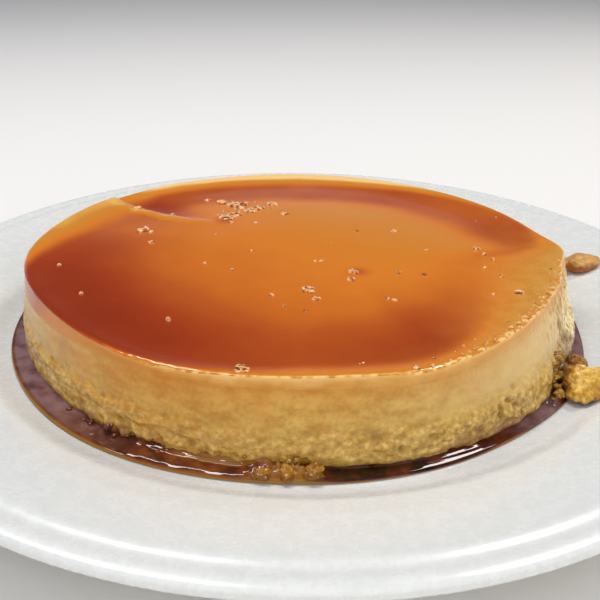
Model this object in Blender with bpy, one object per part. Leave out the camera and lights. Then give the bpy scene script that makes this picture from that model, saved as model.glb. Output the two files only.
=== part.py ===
"""A round creme caramel flan on its stoneware plate, standing in its own caramel sauce.

The flan was turned out of a shallow round pan: a custard disc under a layer of soft caramel. Its outline
isn't a true circle, one end has torn away steeply, and part of the top has sunk behind a crease. Scraps of
custard lie beside it and in the sauce.

Run with: blender --background --python part.py
The frame: metres, +Z up, origin at the centre of the plate's foot, on the table. The front of the flan faces
-Y, and the torn end faces +X. Angles run from +X towards +Y.
"""

from math import atan2, cos, exp, hypot, pi, radians, sin
from typing import NamedTuple

import bmesh
import bpy
from mathutils import Vector, noise

MM = 0.001

# The plate: driving dimensions.
PLATE_RADIUS = 140 * MM
WELL_RADIUS = 97 * MM
WELL_FLOOR = 9.5 * MM
RIM_HEIGHT = 17.7 * MM
FOOT_RADIUS = 84 * MM
FOOT_WIDTH = 5 * MM
FOOT_RECESS = 4.5 * MM
PLATE_SEGMENTS = 72

# The flan: driving dimensions.
FLAN_HEIGHT = 24 * MM
TOP_RADIUS = 83.8 * MM
BASE_RADIUS = 90.2 * MM
CARAMEL_THICKNESS = 3.2 * MM
LIP_ROUND = 0.6 * MM
MOAT_DEPTH = 1.0 * MM
FLAN_SEGMENTS = 120

# The sunken part of the top: its middle, its reach, its drop, and how wide its sharp and soft edges are.
SINK_CENTRE = (-45 * MM, 60 * MM)
SINK_RADIUS = 30 * MM
SINK_DEPTH = 1.1 * MM
SINK_SHARP_EDGE = 1.5 * MM
SINK_SOFT_EDGE = 18 * MM

# The caramel sauce round the flan.
SAUCE_RADIUS = 95.6 * MM
SAUCE_DEPTH = 1.8 * MM
SAUCE_EDGE = 0.5 * MM

# What neighbouring pieces keep between them, and what the sauce keeps from the custard's ragged skirt.
GAP = 0.3 * MM
SKIRT_GAP = 0.5 * MM

# How the top's edge leaves its circle: (middle in degrees, half-width in degrees, outward amount).
TOP_LOBES = (
    (147, 22, 4.6 * MM),
    (-175, 25, 5.8 * MM),
    (-118, 22, 2.8 * MM),
    (-68, 10, 2.0 * MM),
    (-34, 20, -2.4 * MM),
    (2, 7, 3.6 * MM),
    (55, 35, -1.4 * MM),
)
# The same for the foot of the custard.
BASE_LOBES = (
    (-172, 16, 0.9 * MM),
    (-66, 19, 1.8 * MM),
    (-43, 10, 0.8 * MM),
    (-27, 14, -1.5 * MM),
    (30, 12, 0.8 * MM),
    (118, 20, 1.2 * MM),
)

# The same for the pool of sauce.
SAUCE_LOBES = (
    (-125, 24, 1.8 * MM),
    (-50, 18, -1.8 * MM),
    (-5, 24, -3.0 * MM),
    (180, 14, -0.8 * MM),
)
# Where the caramel layer reaches further down the side: the same, with downward amounts.
LAYER_LOBES = ((-172, 34, 3.6 * MM),)

# The custard's side from the plate up: (share of the height, share of the way from the foot's outline to the
# top's).
SIDE_PROFILE = (
    (0.00, 0.22),
    (0.09, 0.00),
    (0.22, 0.02),
    (0.36, 0.16),
    (0.47, 0.42),
    (0.58, 0.50),
    (0.69, 0.62),
    (1.00, 1.00),
)
# Waves in the ragged lower half of the side: (count round the flan, phase, height of the wave).
SKIRT_WAVES = ((7, 0.4, 0.45 * MM), (13, 1.9, 0.35 * MM), (29, 4.1, 0.25 * MM))
SKIRT_TOP = 0.5

# The sauce's surface from its outer edge inwards: (share of its width, share of its depth).
SAUCE_PROFILE = ((0.12, 0.62), (0.34, 0.84), (1.00, 1.00))

# The top of the flan from its edge inwards: (distance in from the edge, share of the moat's depth).
TOP_PROFILE = (
    (0.35 * LIP_ROUND, 0.42),
    (1.3 * LIP_ROUND, 0.00),
    (5 * MM, 0.55),
    (15 * MM, 1.00),
    (27 * MM, 0.85),
    (42 * MM, 0.50),
    (62 * MM, 0.25),
)

# The plate's upper surface from the well outwards: (radius, height).
PLATE_TOP = (
    (WELL_RADIUS, WELL_FLOOR),
    (100.5 * MM, WELL_FLOOR + 1.0 * MM),
    (105 * MM, WELL_FLOOR + 3.2 * MM),
    (113 * MM, WELL_FLOOR + 5.2 * MM),
    (124 * MM, RIM_HEIGHT - 1.1 * MM),
    (130.4 * MM, RIM_HEIGHT),
    (132.6 * MM, RIM_HEIGHT - 0.7 * MM),
    (136 * MM, RIM_HEIGHT),
    (139 * MM, RIM_HEIGHT - 0.5 * MM),
    (PLATE_RADIUS, RIM_HEIGHT - 1.9 * MM),
)
# The plate's underside from the lip back to the foot.
PLATE_UNDER = (
    (139 * MM, RIM_HEIGHT - 3.5 * MM),
    (135 * MM, RIM_HEIGHT - 4.6 * MM),
    (110 * MM, 7.6 * MM),
    (FOOT_RADIUS + 4 * MM, 3.6 * MM),
    (FOOT_RADIUS, 0.0),
    (FOOT_RADIUS - FOOT_WIDTH, 0.0),
    (FOOT_RADIUS - FOOT_WIDTH - 1.5 * MM, FOOT_RECESS),
)

# Looks: name, colour, roughness.
CUSTARD = ("custard", (0.56, 0.35, 0.11), 0.42)
SOAKED_CUSTARD = ("soaked_custard", (0.40, 0.17, 0.04), 0.20)
CARAMEL = ("caramel", (0.42, 0.09, 0.015), 0.08)
SAUCE = ("caramel_sauce", (0.09, 0.02, 0.006), 0.06)
GLAZE = ("glazed_stoneware", (0.74, 0.73, 0.68), 0.25)


class Knob(NamedTuple):
    """A knob that stands out of a scrap, or with a negative share a hollow in it.

    turn is its direction from the scrap's length and rise its height above level, in degrees. half_width is
    its spread in degrees, and share how far it stands out, as a share of the scrap's size there.
    """

    turn: float
    rise: float
    half_width: float
    share: float

    def at(self, way):
        """How far it stands out in a direction, given as a unit vector."""
        turn, rise = radians(self.turn), radians(self.rise)
        middle = Vector((cos(rise) * cos(turn), cos(rise) * sin(turn), sin(rise)))
        return self.share * exp(-((way.angle(middle) / radians(self.half_width)) ** 2))


class Scrap(NamedTuple):
    """A lump of broken custard: a rounded heap with knobs and an uneven skin.

    angle and distance place it from the middle of the plate. Its length runs along +X before it is turned.
    underside is the least height of its underside above the well, and detail its steps of subdivision.
    """

    name: str
    look: tuple
    angle: float
    distance: float
    half_length: float
    half_width: float
    height: float
    turn: float
    underside: float = GAP
    detail: int = 3
    knobs: tuple = ()


# How far above the well a scrap floats whose underside the sauce runs under.
AFLOAT = 1.1 * MM
# The broken lump bridges the sauce, from the custard's foot to the slope of the rim: a ridge that runs
# outwards, a knob at its front and one at its back. The tongue lies on that slope, clear of the sauce.
BROKEN_CUSTARD = Scrap(
    "broken_custard",
    CUSTARD,
    -33.4,
    97.8 * MM,
    6.2 * MM,
    5.0 * MM,
    9.4 * MM,
    turn=-9,
    underside=AFLOAT,
    knobs=(
        Knob(-28, 5, 24, 0.40),
        Knob(-112, -10, 30, 0.40),
        Knob(54, 20, 26, 0.40),
        Knob(145, 48, 34, 0.36),
        Knob(-70, 10, 18, -0.24),
        Knob(14, 20, 16, -0.24),
    ),
)
CUSTARD_TONGUE = Scrap(
    "custard_tongue",
    SOAKED_CUSTARD,
    17.0,
    109.4 * MM,
    7.4 * MM,
    4.6 * MM,
    5.6 * MM,
    turn=14,
    knobs=(Knob(30, 50, 50, 0.10), Knob(170, 40, 30, -0.12)),
)
# The soaked rubble that has slid down the torn end and leans on it.
SOAKED_RUBBLE = Scrap(
    "soaked_rubble",
    SOAKED_CUSTARD,
    -26.0,
    91.2 * MM,
    4.6 * MM,
    3.7 * MM,
    6.2 * MM,
    turn=68,
    underside=AFLOAT,
    knobs=(Knob(-60, 10, 26, 0.22), Knob(-150, 30, 30, 0.25), Knob(-100, 0, 16, -0.22)),
)
# The soaked scraps in the sauce at the front: (angle, distance, half length, half width, height, turn).
SOAKED_SCRAPS = (
    (-95.6, 93.9 * MM, 2.8 * MM, 2.6 * MM, 3.4 * MM, -8),
    (-91.9, 93.7 * MM, 2.6 * MM, 2.8 * MM, 3.8 * MM, -2),
    (-88.0, 93.5 * MM, 3.0 * MM, 2.9 * MM, 4.6 * MM, 6),
)
# How uneven a scrap's skin is: (bumps across it, height of a bump as a share of its size).
SCRAP_BUMPS = ((1.6, 0.30), (4.1, 0.13))
# How much of a scrap's height lies under its widest level.
SCRAP_SEAT = 0.38
# How far to either side of a scrap's skin the custard's ragged side is kept clear of.
CLEAR_REACH = radians(2.5)

SHARP_ANGLE = radians(50)


def clear_scene():
    """Removes whatever the file opened with."""
    for obj in list(bpy.data.objects):
        bpy.data.objects.remove(obj)


def material(name, colour, roughness):
    """A Principled material, made once."""
    found = bpy.data.materials.get(name)
    if found:
        return found
    made = bpy.data.materials.new(name)
    made.use_nodes = True
    shader = made.node_tree.nodes["Principled BSDF"]
    shader.inputs["Base Color"].default_value = (*colour, 1.0)
    shader.inputs["Roughness"].default_value = roughness
    made.diffuse_color = (*colour, 1.0)
    return made


def add_object(name, skin, look):
    """A named object from a bmesh, which it frees."""
    mesh = bpy.data.meshes.new(name)
    skin.to_mesh(mesh)
    skin.free()
    mesh.shade_smooth()
    mesh.set_sharp_from_angle(angle=SHARP_ANGLE)
    mesh.materials.append(material(*look))
    piece = bpy.data.objects.new(name, mesh)
    bpy.context.scene.collection.objects.link(piece)
    return piece


def between(points, at):
    """The value at a place along straight runs between (place, value) points, held level past both ends."""
    if at <= points[0][0]:
        return points[0][1]
    for (low, start), (high, end) in zip(points, points[1:]):
        if at <= high:
            return start + (end - start) * (at - low) / (high - low)
    return points[-1][1]


def smooth_step(share):
    """0 below 0, 1 above 1, and an S-curve between them."""
    held = min(1.0, max(0.0, share))
    return held * held * (3 - 2 * held)


def lobe_sum(lobes, angle):
    """The outward amount of these lobes at an angle in radians."""
    total = 0.0
    for middle, half_width, amount in lobes:
        off = (angle - radians(middle) + pi) % (2 * pi) - pi
        total += amount * exp(-((off / radians(half_width)) ** 2))
    return total


def flan_radius(angle, share):
    """The flan's side at a share of its height, with the ragged skirt round its lower half."""
    way = between(SIDE_PROFILE, share)
    base = BASE_RADIUS + lobe_sum(BASE_LOBES, angle)
    top = TOP_RADIUS + lobe_sum(TOP_LOBES, angle)
    skirt = sum(amount * sin(count * angle + phase) for count, phase, amount in SKIRT_WAVES)
    return base + (top - base) * way + skirt * max(0.0, 1.0 - share / SKIRT_TOP)


def seam(angle):
    """The height, above the well, of the seam between the custard and the caramel."""
    return FLAN_HEIGHT - CARAMEL_THICKNESS - lobe_sum(LAYER_LOBES, angle)


def sink(x, y):
    """How far the top has dropped at a point: sharply at the left of the sunken part, softly at its right."""
    beside = max(0.0, (x - SINK_CENTRE[0]) / SINK_RADIUS)
    edge = SINK_SHARP_EDGE + SINK_SOFT_EDGE * min(1.0, beside)
    inside = SINK_RADIUS + edge / 2 - hypot(x - SINK_CENTRE[0], y - SINK_CENTRE[1])
    return SINK_DEPTH * smooth_step(inside / edge)


def ring_of(count, radius, height):
    """One ring of points. radius and height are functions of the angle."""
    angles = [2 * pi * step / count for step in range(count)]
    return [Vector((radius(a) * cos(a), radius(a) * sin(a), height(a))) for a in angles]


def flan_ring(height):
    """A ring of points on the flan's side. height is a function of the angle, above the well."""
    return ring_of(
        FLAN_SEGMENTS,
        lambda a: flan_radius(a, height(a) / FLAN_HEIGHT),
        lambda a: WELL_FLOOR + max(GAP, height(a)),
    )


def add_turned(name, rings, look, closed_loop=False):
    """A solid skinned over rings of points.

    With closed_loop the last ring joins the first, which makes an annular solid. Otherwise each end is closed
    by a fan to its middle.
    """
    skin = bmesh.new()
    levels = [[skin.verts.new(point) for point in ring] for ring in rings]
    pairs = list(zip(levels, levels[1:]))
    if closed_loop:
        pairs.append((levels[-1], levels[0]))
    for lower, upper in pairs:
        for i in range(len(lower)):
            j = (i + 1) % len(lower)
            skin.faces.new((lower[i], lower[j], upper[j], upper[i]))
    if not closed_loop:
        for level in (levels[0], levels[-1]):
            middle = skin.verts.new(sum((vert.co for vert in level), Vector()) / len(level))
            for i in range(len(level)):
                skin.faces.new((level[i], level[(i + 1) % len(level)], middle))
    bmesh.ops.triangulate(skin, faces=skin.faces)
    bmesh.ops.recalc_face_normals(skin, faces=skin.faces)
    return add_object(name, skin, look)


def add_plate():
    """The shallow plate: a flat well, a rising rim with a ring moulded near its rolled edge, and a foot."""
    outline = (*reversed(PLATE_UNDER), *reversed(PLATE_TOP))
    rings = [ring_of(PLATE_SEGMENTS, lambda a, r=r: r, lambda a, z=z: z) for r, z in outline]
    return add_turned("plate", rings, GLAZE)


def add_custard():
    """The custard disc, from the plate's floor up to the caramel."""
    rings = [flan_ring(lambda a, s=share: s * FLAN_HEIGHT) for share, _ in SIDE_PROFILE[:-1]]
    rings.append(flan_ring(seam))
    return add_turned("custard", rings, CUSTARD)


def add_caramel_top():
    """The caramel layer: a raised rounded lip round a shallow moat, a swelling middle and the sunken part."""
    rings = [flan_ring(lambda a: seam(a) + GAP)]
    for inset, dip in ((0.0, LIP_ROUND / MOAT_DEPTH), *TOP_PROFILE):
        ring = ring_of(
            FLAN_SEGMENTS,
            lambda a: flan_radius(a, 1.0) - inset,
            lambda a: WELL_FLOOR + FLAN_HEIGHT - dip * MOAT_DEPTH,
        )
        for point in ring:
            point.z -= sink(point.x, point.y)
        rings.append(ring)
    return add_turned("caramel_top", rings, CARAMEL)


def add_sauce():
    """The pool of caramel sauce between the custard's foot and the edge of the well."""

    def reach(angle, way, height):
        outer = SAUCE_RADIUS + lobe_sum(SAUCE_LOBES, angle)
        inner = flan_radius(angle, height / FLAN_HEIGHT) + SKIRT_GAP
        return outer + (inner - outer) * way

    surface = [(way, share * SAUCE_DEPTH) for way, share in SAUCE_PROFILE]
    sections = ((0.0, GAP), (0.0, GAP + SAUCE_EDGE), *surface, (1.0, GAP))
    rings = [
        ring_of(FLAN_SEGMENTS, lambda a, w=way, z=height: reach(a, w, z), lambda a, z=height: WELL_FLOOR + z)
        for way, height in sections
    ]
    return add_turned("caramel_sauce", rings, SAUCE, closed_loop=True)


def settled(point, underside):
    """The point moved clear of the custard's side and of the plate, and no lower than the underside."""
    angle = atan2(point.y, point.x)
    height = max(point.z - WELL_FLOOR, underside)
    nearby = [angle + step * CLEAR_REACH for step in (-1.0, -0.5, 0.0, 0.5, 1.0)]
    side = max(flan_radius(a, height / FLAN_HEIGHT) for a in nearby)
    reach = max(hypot(point.x, point.y), side + GAP)
    lowest = between(PLATE_TOP, reach) + GAP
    return Vector((reach * cos(angle), reach * sin(angle), max(WELL_FLOOR + height, lowest)))


def add_scrap(scrap, suffix="", swell=0.0):
    """The scrap, lying on the plate. swell grows it by that much all round."""
    angle, turn = radians(scrap.angle), radians(scrap.turn)
    seat = Vector((scrap.distance * cos(angle), scrap.distance * sin(angle), 0.0))
    seat.z = between(PLATE_TOP, scrap.distance)
    along = Vector((cos(turn), sin(turn), 0.0)) * scrap.half_length
    across = Vector((-sin(turn), cos(turn), 0.0)) * scrap.half_width
    skin = bmesh.new()
    bmesh.ops.create_icosphere(skin, subdivisions=scrap.detail, radius=1.0)
    for vert in skin.verts:
        bump = 1.0 + sum(share * noise.noise(vert.co * count + seat / MM) for count, share in SCRAP_BUMPS)
        bump += sum(knob.at(vert.co) for knob in scrap.knobs)
        lying = (along * vert.co.x + across * vert.co.y) * bump
        lying.z = scrap.height * (SCRAP_SEAT + (1 - SCRAP_SEAT) * vert.co.z * bump)
        vert.co = settled(seat + lying, scrap.underside)
    skin.normal_update()
    for vert in skin.verts:
        vert.co += vert.normal * swell
    return add_object(scrap.name + suffix, skin, scrap.look)


def cut_sauce(sauce, scraps):
    """Cuts the sauce clear of each scrap that lies in it, with a slightly larger copy of the scrap."""
    for scrap in scraps:
        cutter = add_scrap(scrap, "_cutter", swell=GAP)
        cutter.hide_render = True
        cutter.display_type = "WIRE"
        cut = sauce.modifiers.new(scrap.name, "BOOLEAN")
        cut.operation = "DIFFERENCE"
        cut.solver = "EXACT"
        cut.object = cutter


def main():
    """Builds the plate, the flan, its sauce and the scraps."""
    clear_scene()
    add_plate()
    add_custard()
    add_caramel_top()
    sauce = add_sauce()
    in_sauce = [BROKEN_CUSTARD, SOAKED_RUBBLE]
    for count, place in enumerate(SOAKED_SCRAPS, start=1):
        in_sauce.append(Scrap(f"soaked_scrap_{count}", SOAKED_CUSTARD, *place, underside=AFLOAT, detail=2))
    for scrap in (*in_sauce, CUSTARD_TONGUE):
        add_scrap(scrap)
    cut_sauce(sauce, in_sauce)


main()
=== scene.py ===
"""The looks of a creme caramel flan on its stoneware plate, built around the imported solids.

A disc of steamed egg custard stands under a film of burnt-sugar caramel, in a narrow pool of its own sauce.
One end has torn, part of the top has sunk behind a crease, and scraps of custard lie beside it.

The frame: metres, +Z up, origin at the centre of the plate's foot. The front of the flan faces -Y and its torn
end +X. Angles run from +X towards +Y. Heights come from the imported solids, and outlines repeat theirs.
"""

import logging
from dataclasses import dataclass
from enum import Enum
from math import cos, pi, radians, sin

import bmesh
import bpy
import numpy as np
from mathutils import Euler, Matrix, Quaternion, Vector, noise


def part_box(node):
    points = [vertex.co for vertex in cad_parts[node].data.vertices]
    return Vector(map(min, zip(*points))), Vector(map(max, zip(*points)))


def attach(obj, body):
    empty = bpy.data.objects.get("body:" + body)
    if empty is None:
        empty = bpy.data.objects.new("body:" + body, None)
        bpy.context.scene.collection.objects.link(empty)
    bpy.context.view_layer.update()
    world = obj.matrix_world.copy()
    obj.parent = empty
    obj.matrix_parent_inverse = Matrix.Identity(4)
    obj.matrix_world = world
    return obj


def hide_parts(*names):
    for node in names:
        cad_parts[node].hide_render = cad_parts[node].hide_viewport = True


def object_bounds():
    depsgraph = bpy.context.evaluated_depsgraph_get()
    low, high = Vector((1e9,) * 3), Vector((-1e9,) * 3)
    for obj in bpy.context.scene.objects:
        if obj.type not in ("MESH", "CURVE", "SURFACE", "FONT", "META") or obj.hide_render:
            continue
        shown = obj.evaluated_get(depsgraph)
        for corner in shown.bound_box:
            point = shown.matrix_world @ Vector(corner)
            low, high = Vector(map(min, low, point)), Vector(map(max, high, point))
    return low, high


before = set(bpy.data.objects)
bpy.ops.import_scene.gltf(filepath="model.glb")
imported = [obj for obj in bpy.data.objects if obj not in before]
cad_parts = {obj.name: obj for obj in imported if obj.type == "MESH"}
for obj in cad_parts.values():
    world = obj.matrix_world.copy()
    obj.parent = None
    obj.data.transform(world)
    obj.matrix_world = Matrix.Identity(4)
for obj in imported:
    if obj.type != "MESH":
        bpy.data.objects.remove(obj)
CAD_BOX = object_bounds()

LOG = logging.getLogger("flan")
BODY = "root"
MM = 0.001
# Faces that meet at more than this keep a crisp edge between them.
SHARP_ANGLE = radians(75)

# The sockets of a colour mix, which share their names with its number and vector ones.
MIX_FACTOR, MIX_LOW, MIX_HIGH, MIX_RESULT = 0, 6, 7, 2

Colour = tuple[float, float, float, float]
Pairs = tuple[tuple[float, float], ...]
Stops = tuple[tuple[float, str], ...]
Array = np.ndarray
Traits = dict[str, Array]
Piece = bpy.types.Object
Material = bpy.types.Material
Tree = bpy.types.NodeTree
Node = bpy.types.Node
Socket = bpy.types.NodeSocket


# ---------------------------------------------------------------- colours, nodes and numbers


def linear(hex_colour: str) -> Colour:
    """An sRGB colour as the linear one that shaders take.

    Args:
        hex_colour: The colour, such as "#d07a2a".

    Returns:
        Red, green, blue and a full alpha.
    """
    shares = [int(hex_colour[at : at + 2], 16) / 255 for at in (1, 3, 5)]
    return (*(s / 12.92 if s <= 0.04045 else ((s + 0.055) / 1.055) ** 2.4 for s in shares), 1.0)


def add_node(tree: Tree, kind: str, links: dict | None = None, stops: Stops = (), **settings: object) -> Node:
    """Adds a node to a tree.

    Args:
        tree: The node tree.
        kind: The node's type.
        links: What its inputs get, by name or number: a value, a node's output, or a node for its first one.
        stops: A colour ramp's stops, as (place, hex colour).
        **settings: The node's own properties.

    Returns:
        The node.
    """
    node = tree.nodes.new(kind)
    for name, value in settings.items():
        setattr(node, name, value)
    for name, value in (links or {}).items():
        value = value.outputs[0] if isinstance(value, Node) else value
        if isinstance(value, Socket):
            tree.links.new(value, node.inputs[name])
        else:
            node.inputs[name].default_value = value
    for count, (place, hex_colour) in enumerate(stops):
        ramp = node.color_ramp.elements
        stop = ramp[count] if count < len(ramp) else ramp.new(place)
        stop.position = place
        stop.color = linear(hex_colour)
    return node


def per(size: float) -> float:
    """The scale of a pattern whose features are this size, in metres."""
    return 1.0 / size


def table_of(kind: type, *values: tuple) -> tuple:
    """A table of one dataclass, made from the values of each row."""
    return tuple(kind(*row) for row in values)


def smooth_step(share: Array) -> Array:
    """0 below 0, 1 above 1, and an S-curve between them."""
    held = np.clip(share, 0.0, 1.0)
    return held * held * (3 - 2 * held)


def along(points: Pairs, at: Array) -> Array:
    """The value at each place along straight runs between (place, value) points, level past both ends."""
    places, values = zip(*points)
    return np.interp(at, places, values)


def softened(points: Pairs, reach: float, step: float) -> Pairs:
    """The same runs with their corners rounded.

    Args:
        points: The (place, value) points.
        reach: How far along a corner is spread.
        step: The spacing of the new points.

    Returns:
        Close (place, value) points along the rounded runs.
    """
    places = np.arange(points[0][0] - 4 * reach, points[-1][0] + 4 * reach, step)
    kernel = np.exp(-0.5 * (np.arange(-3 * reach, 3 * reach + step, step) / reach) ** 2)
    values = along(points, places)
    padded = np.pad(values, len(kernel) // 2, mode="edge")
    rounded = np.convolve(padded, kernel / kernel.sum(), mode="valid")[: len(values)]
    return tuple(zip(places, rounded))


def fractal(points: Array, size: float, octaves: int = 3, shift: float = 0.0) -> Array:
    """Fractal noise at each point, between about -1 and 1.

    Args:
        points: Points, in the last axis.
        size: The size of the largest features.
        octaves: How many sizes of feature there are, each half the last.
        shift: Moves the pattern, so that two of one size differ.

    Returns:
        One value for each point.
    """
    flat = points.reshape(-1, 3) / size + shift
    values = [noise.fractal(Vector(point), 1.0, 2.0, octaves) for point in flat]
    return np.array(values).reshape(points.shape[:-1])


def cells(points: Array, size: float, shift: float = 0.0) -> tuple[Array, Array]:
    """Rounded cells scattered through space.

    Args:
        points: Points, in the last axis.
        size: The usual distance between the cells' middles.
        shift: Moves the pattern.

    Returns:
        For each point, the distance to its cell's middle in cell sizes, and the cell's own number from 0 to 1.
    """
    flat = points.reshape(-1, 3) / size + shift
    near, own = [], []
    for point in flat:
        distances, middles = noise.voronoi(Vector(point))
        near.append(distances[0])
        own.append(noise.cell(middles[0] * 9.7))
    return np.array(near).reshape(points.shape[:-1]), np.array(own).reshape(points.shape[:-1])


def spread(x: Array, y: Array, z: Array | float = 0.0) -> Array:
    """Points from their coordinates, with the three of each in a last axis."""
    return np.stack([x, y, z + np.zeros_like(x)], axis=-1)


def polar(reach: Array | float, angle: Array, height: Array | float = 0.0) -> Array:
    """Points from their distance from the middle, their angle and their height."""
    return spread(reach * np.cos(angle), reach * np.sin(angle), height)


def off_middle(angle: Array, middle: float = 0.0) -> Array:
    """How far each angle is past a middle in degrees, the short way round, in radians."""
    return (angle - radians(middle) + pi) % (2 * pi) - pi


def read_off(table: tuple, field: str, angle: Array, unit: float = 1.0) -> Array:
    """One field of a table at each angle, read off between its rows.

    Args:
        table: Rows with an angle, in degrees from -180 to 180.
        field: The field's name.
        angle: The angles, in radians.
        unit: What the field's values are given in.

    Returns:
        Its value at each angle.
    """
    values = [getattr(row, field) * unit for row in table]
    return np.interp(np.degrees(off_middle(angle)), [row.angle for row in table], values)


@dataclass(frozen=True)
class Lobe:
    """A smooth bulge round an outline: its middle and half-width in degrees, and its amount.

    power is 2 for a bell, and more for a flatter top with steeper ends.
    """

    middle: float
    half_width: float
    amount: float
    power: int = 2

    def at(self, angle: Array) -> Array:
        """The amount at each angle, in radians."""
        off = off_middle(angle, self.middle) / radians(self.half_width)
        return self.amount * np.exp(-(np.abs(off) ** self.power))


def lobe_sum(lobes: tuple[Lobe, ...], angle: Array) -> Array:
    """What these lobes add up to at each angle."""
    return sum((lobe.at(angle) for lobe in lobes), np.zeros_like(angle))


def turns(count: int) -> Array:
    """Angles spaced evenly round one turn."""
    return np.arange(count) * 2 * pi / count


# ---------------------------------------------------------------- meshes


def placed(name: str, data: bpy.types.ID) -> Piece:
    """Makes an object and links it to the scene.

    Args:
        name: Its name.
        data: Its mesh, lamp or camera.

    Returns:
        The object.
    """
    made = bpy.data.objects.new(name, data)
    bpy.context.scene.collection.objects.link(made)
    return made


def used_up(source: Piece) -> bpy.types.Mesh:
    """Turns an object into the mesh that its modifiers make of it.

    Args:
        source: The object, which goes.

    Returns:
        The mesh.
    """
    mesh = bpy.data.meshes.new_from_object(source.evaluated_get(bpy.context.evaluated_depsgraph_get()))
    bpy.data.objects.remove(source)
    return mesh


def keep_traits(mesh: bpy.types.Mesh, traits: Traits) -> None:
    """Stores values for a mesh's points as attributes, which the finishes read.

    Args:
        mesh: The mesh.
        traits: A value for each of its points, by the attribute's name.
    """
    for trait, values in traits.items():
        data = mesh.attributes.new(trait, "FLOAT", "POINT").data
        data.foreach_set("value", values.reshape(-1).astype(np.float32))


class Ends(Enum):
    """What becomes of the first and the last ring of a skin."""

    CLOSED = "each closes to its middle"
    JOINED = "they are joined to each other"
    OPEN = "they stay open"


def ring_mesh(name: str, rings: Array, traits: Traits | None = None, ends: Ends = Ends.CLOSED) -> Piece:
    """A skin over rings of points, each ring running anticlockwise seen from above.

    Args:
        name: The piece's name.
        rings: Points, as (ring, place in the ring, 3).
        traits: Values for each point, as (ring, place in the ring), kept as attributes.
        ends: What becomes of the first and the last ring.

    Returns:
        The piece, linked to the scene, shaded smooth.
    """
    levels, around = rings.shape[:2]
    index = np.arange(levels * around).reshape(levels, around)
    joined = ends is Ends.JOINED
    upper = np.roll(index, -1, axis=0) if joined else index[1:]
    lower = index if joined else index[:-1]
    quads = np.stack([lower, np.roll(lower, -1, 1), np.roll(upper, -1, 1), upper], axis=-1).reshape(-1, 4)
    points = rings.reshape(-1, 3)
    faces = quads.tolist()
    if ends is Ends.CLOSED:
        points = np.vstack([points, rings[0].mean(axis=0), rings[-1].mean(axis=0)])
        start, end = levels * around, levels * around + 1
        following = np.roll(index, -1, axis=1)
        faces += [(b, a, start) for a, b in zip(index[0].tolist(), following[0].tolist())]
        faces += [(a, b, end) for a, b in zip(index[-1].tolist(), following[-1].tolist())]
    mesh = bpy.data.meshes.new(name)
    mesh.from_pydata(points.tolist(), [], faces)
    kept = dict(traits or {})
    if ends is Ends.CLOSED:
        kept = {name: np.append(values, [values[0].mean(), values[-1].mean()]) for name, values in kept.items()}
    keep_traits(mesh, kept)
    mesh.shade_smooth()
    return placed(name, mesh)


def dress(piece: Piece, look: Material, replaces: tuple[str, ...] = ()) -> Piece:
    """Gives a finished piece its material and its place in the part.

    Args:
        piece: The piece, with its place in its mesh.
        look: Its material.
        replaces: The solids that it stands for.

    Returns:
        The piece.
    """
    if not piece.data.materials:
        piece.data.materials.append(look)
    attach(piece, BODY)
    if replaces:
        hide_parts(*replaces)
    LOG.info("%s: %d faces, %s", piece.name, len(piece.data.polygons), look.name)
    return piece


# ---------------------------------------------------------------- the flan's form


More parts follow.
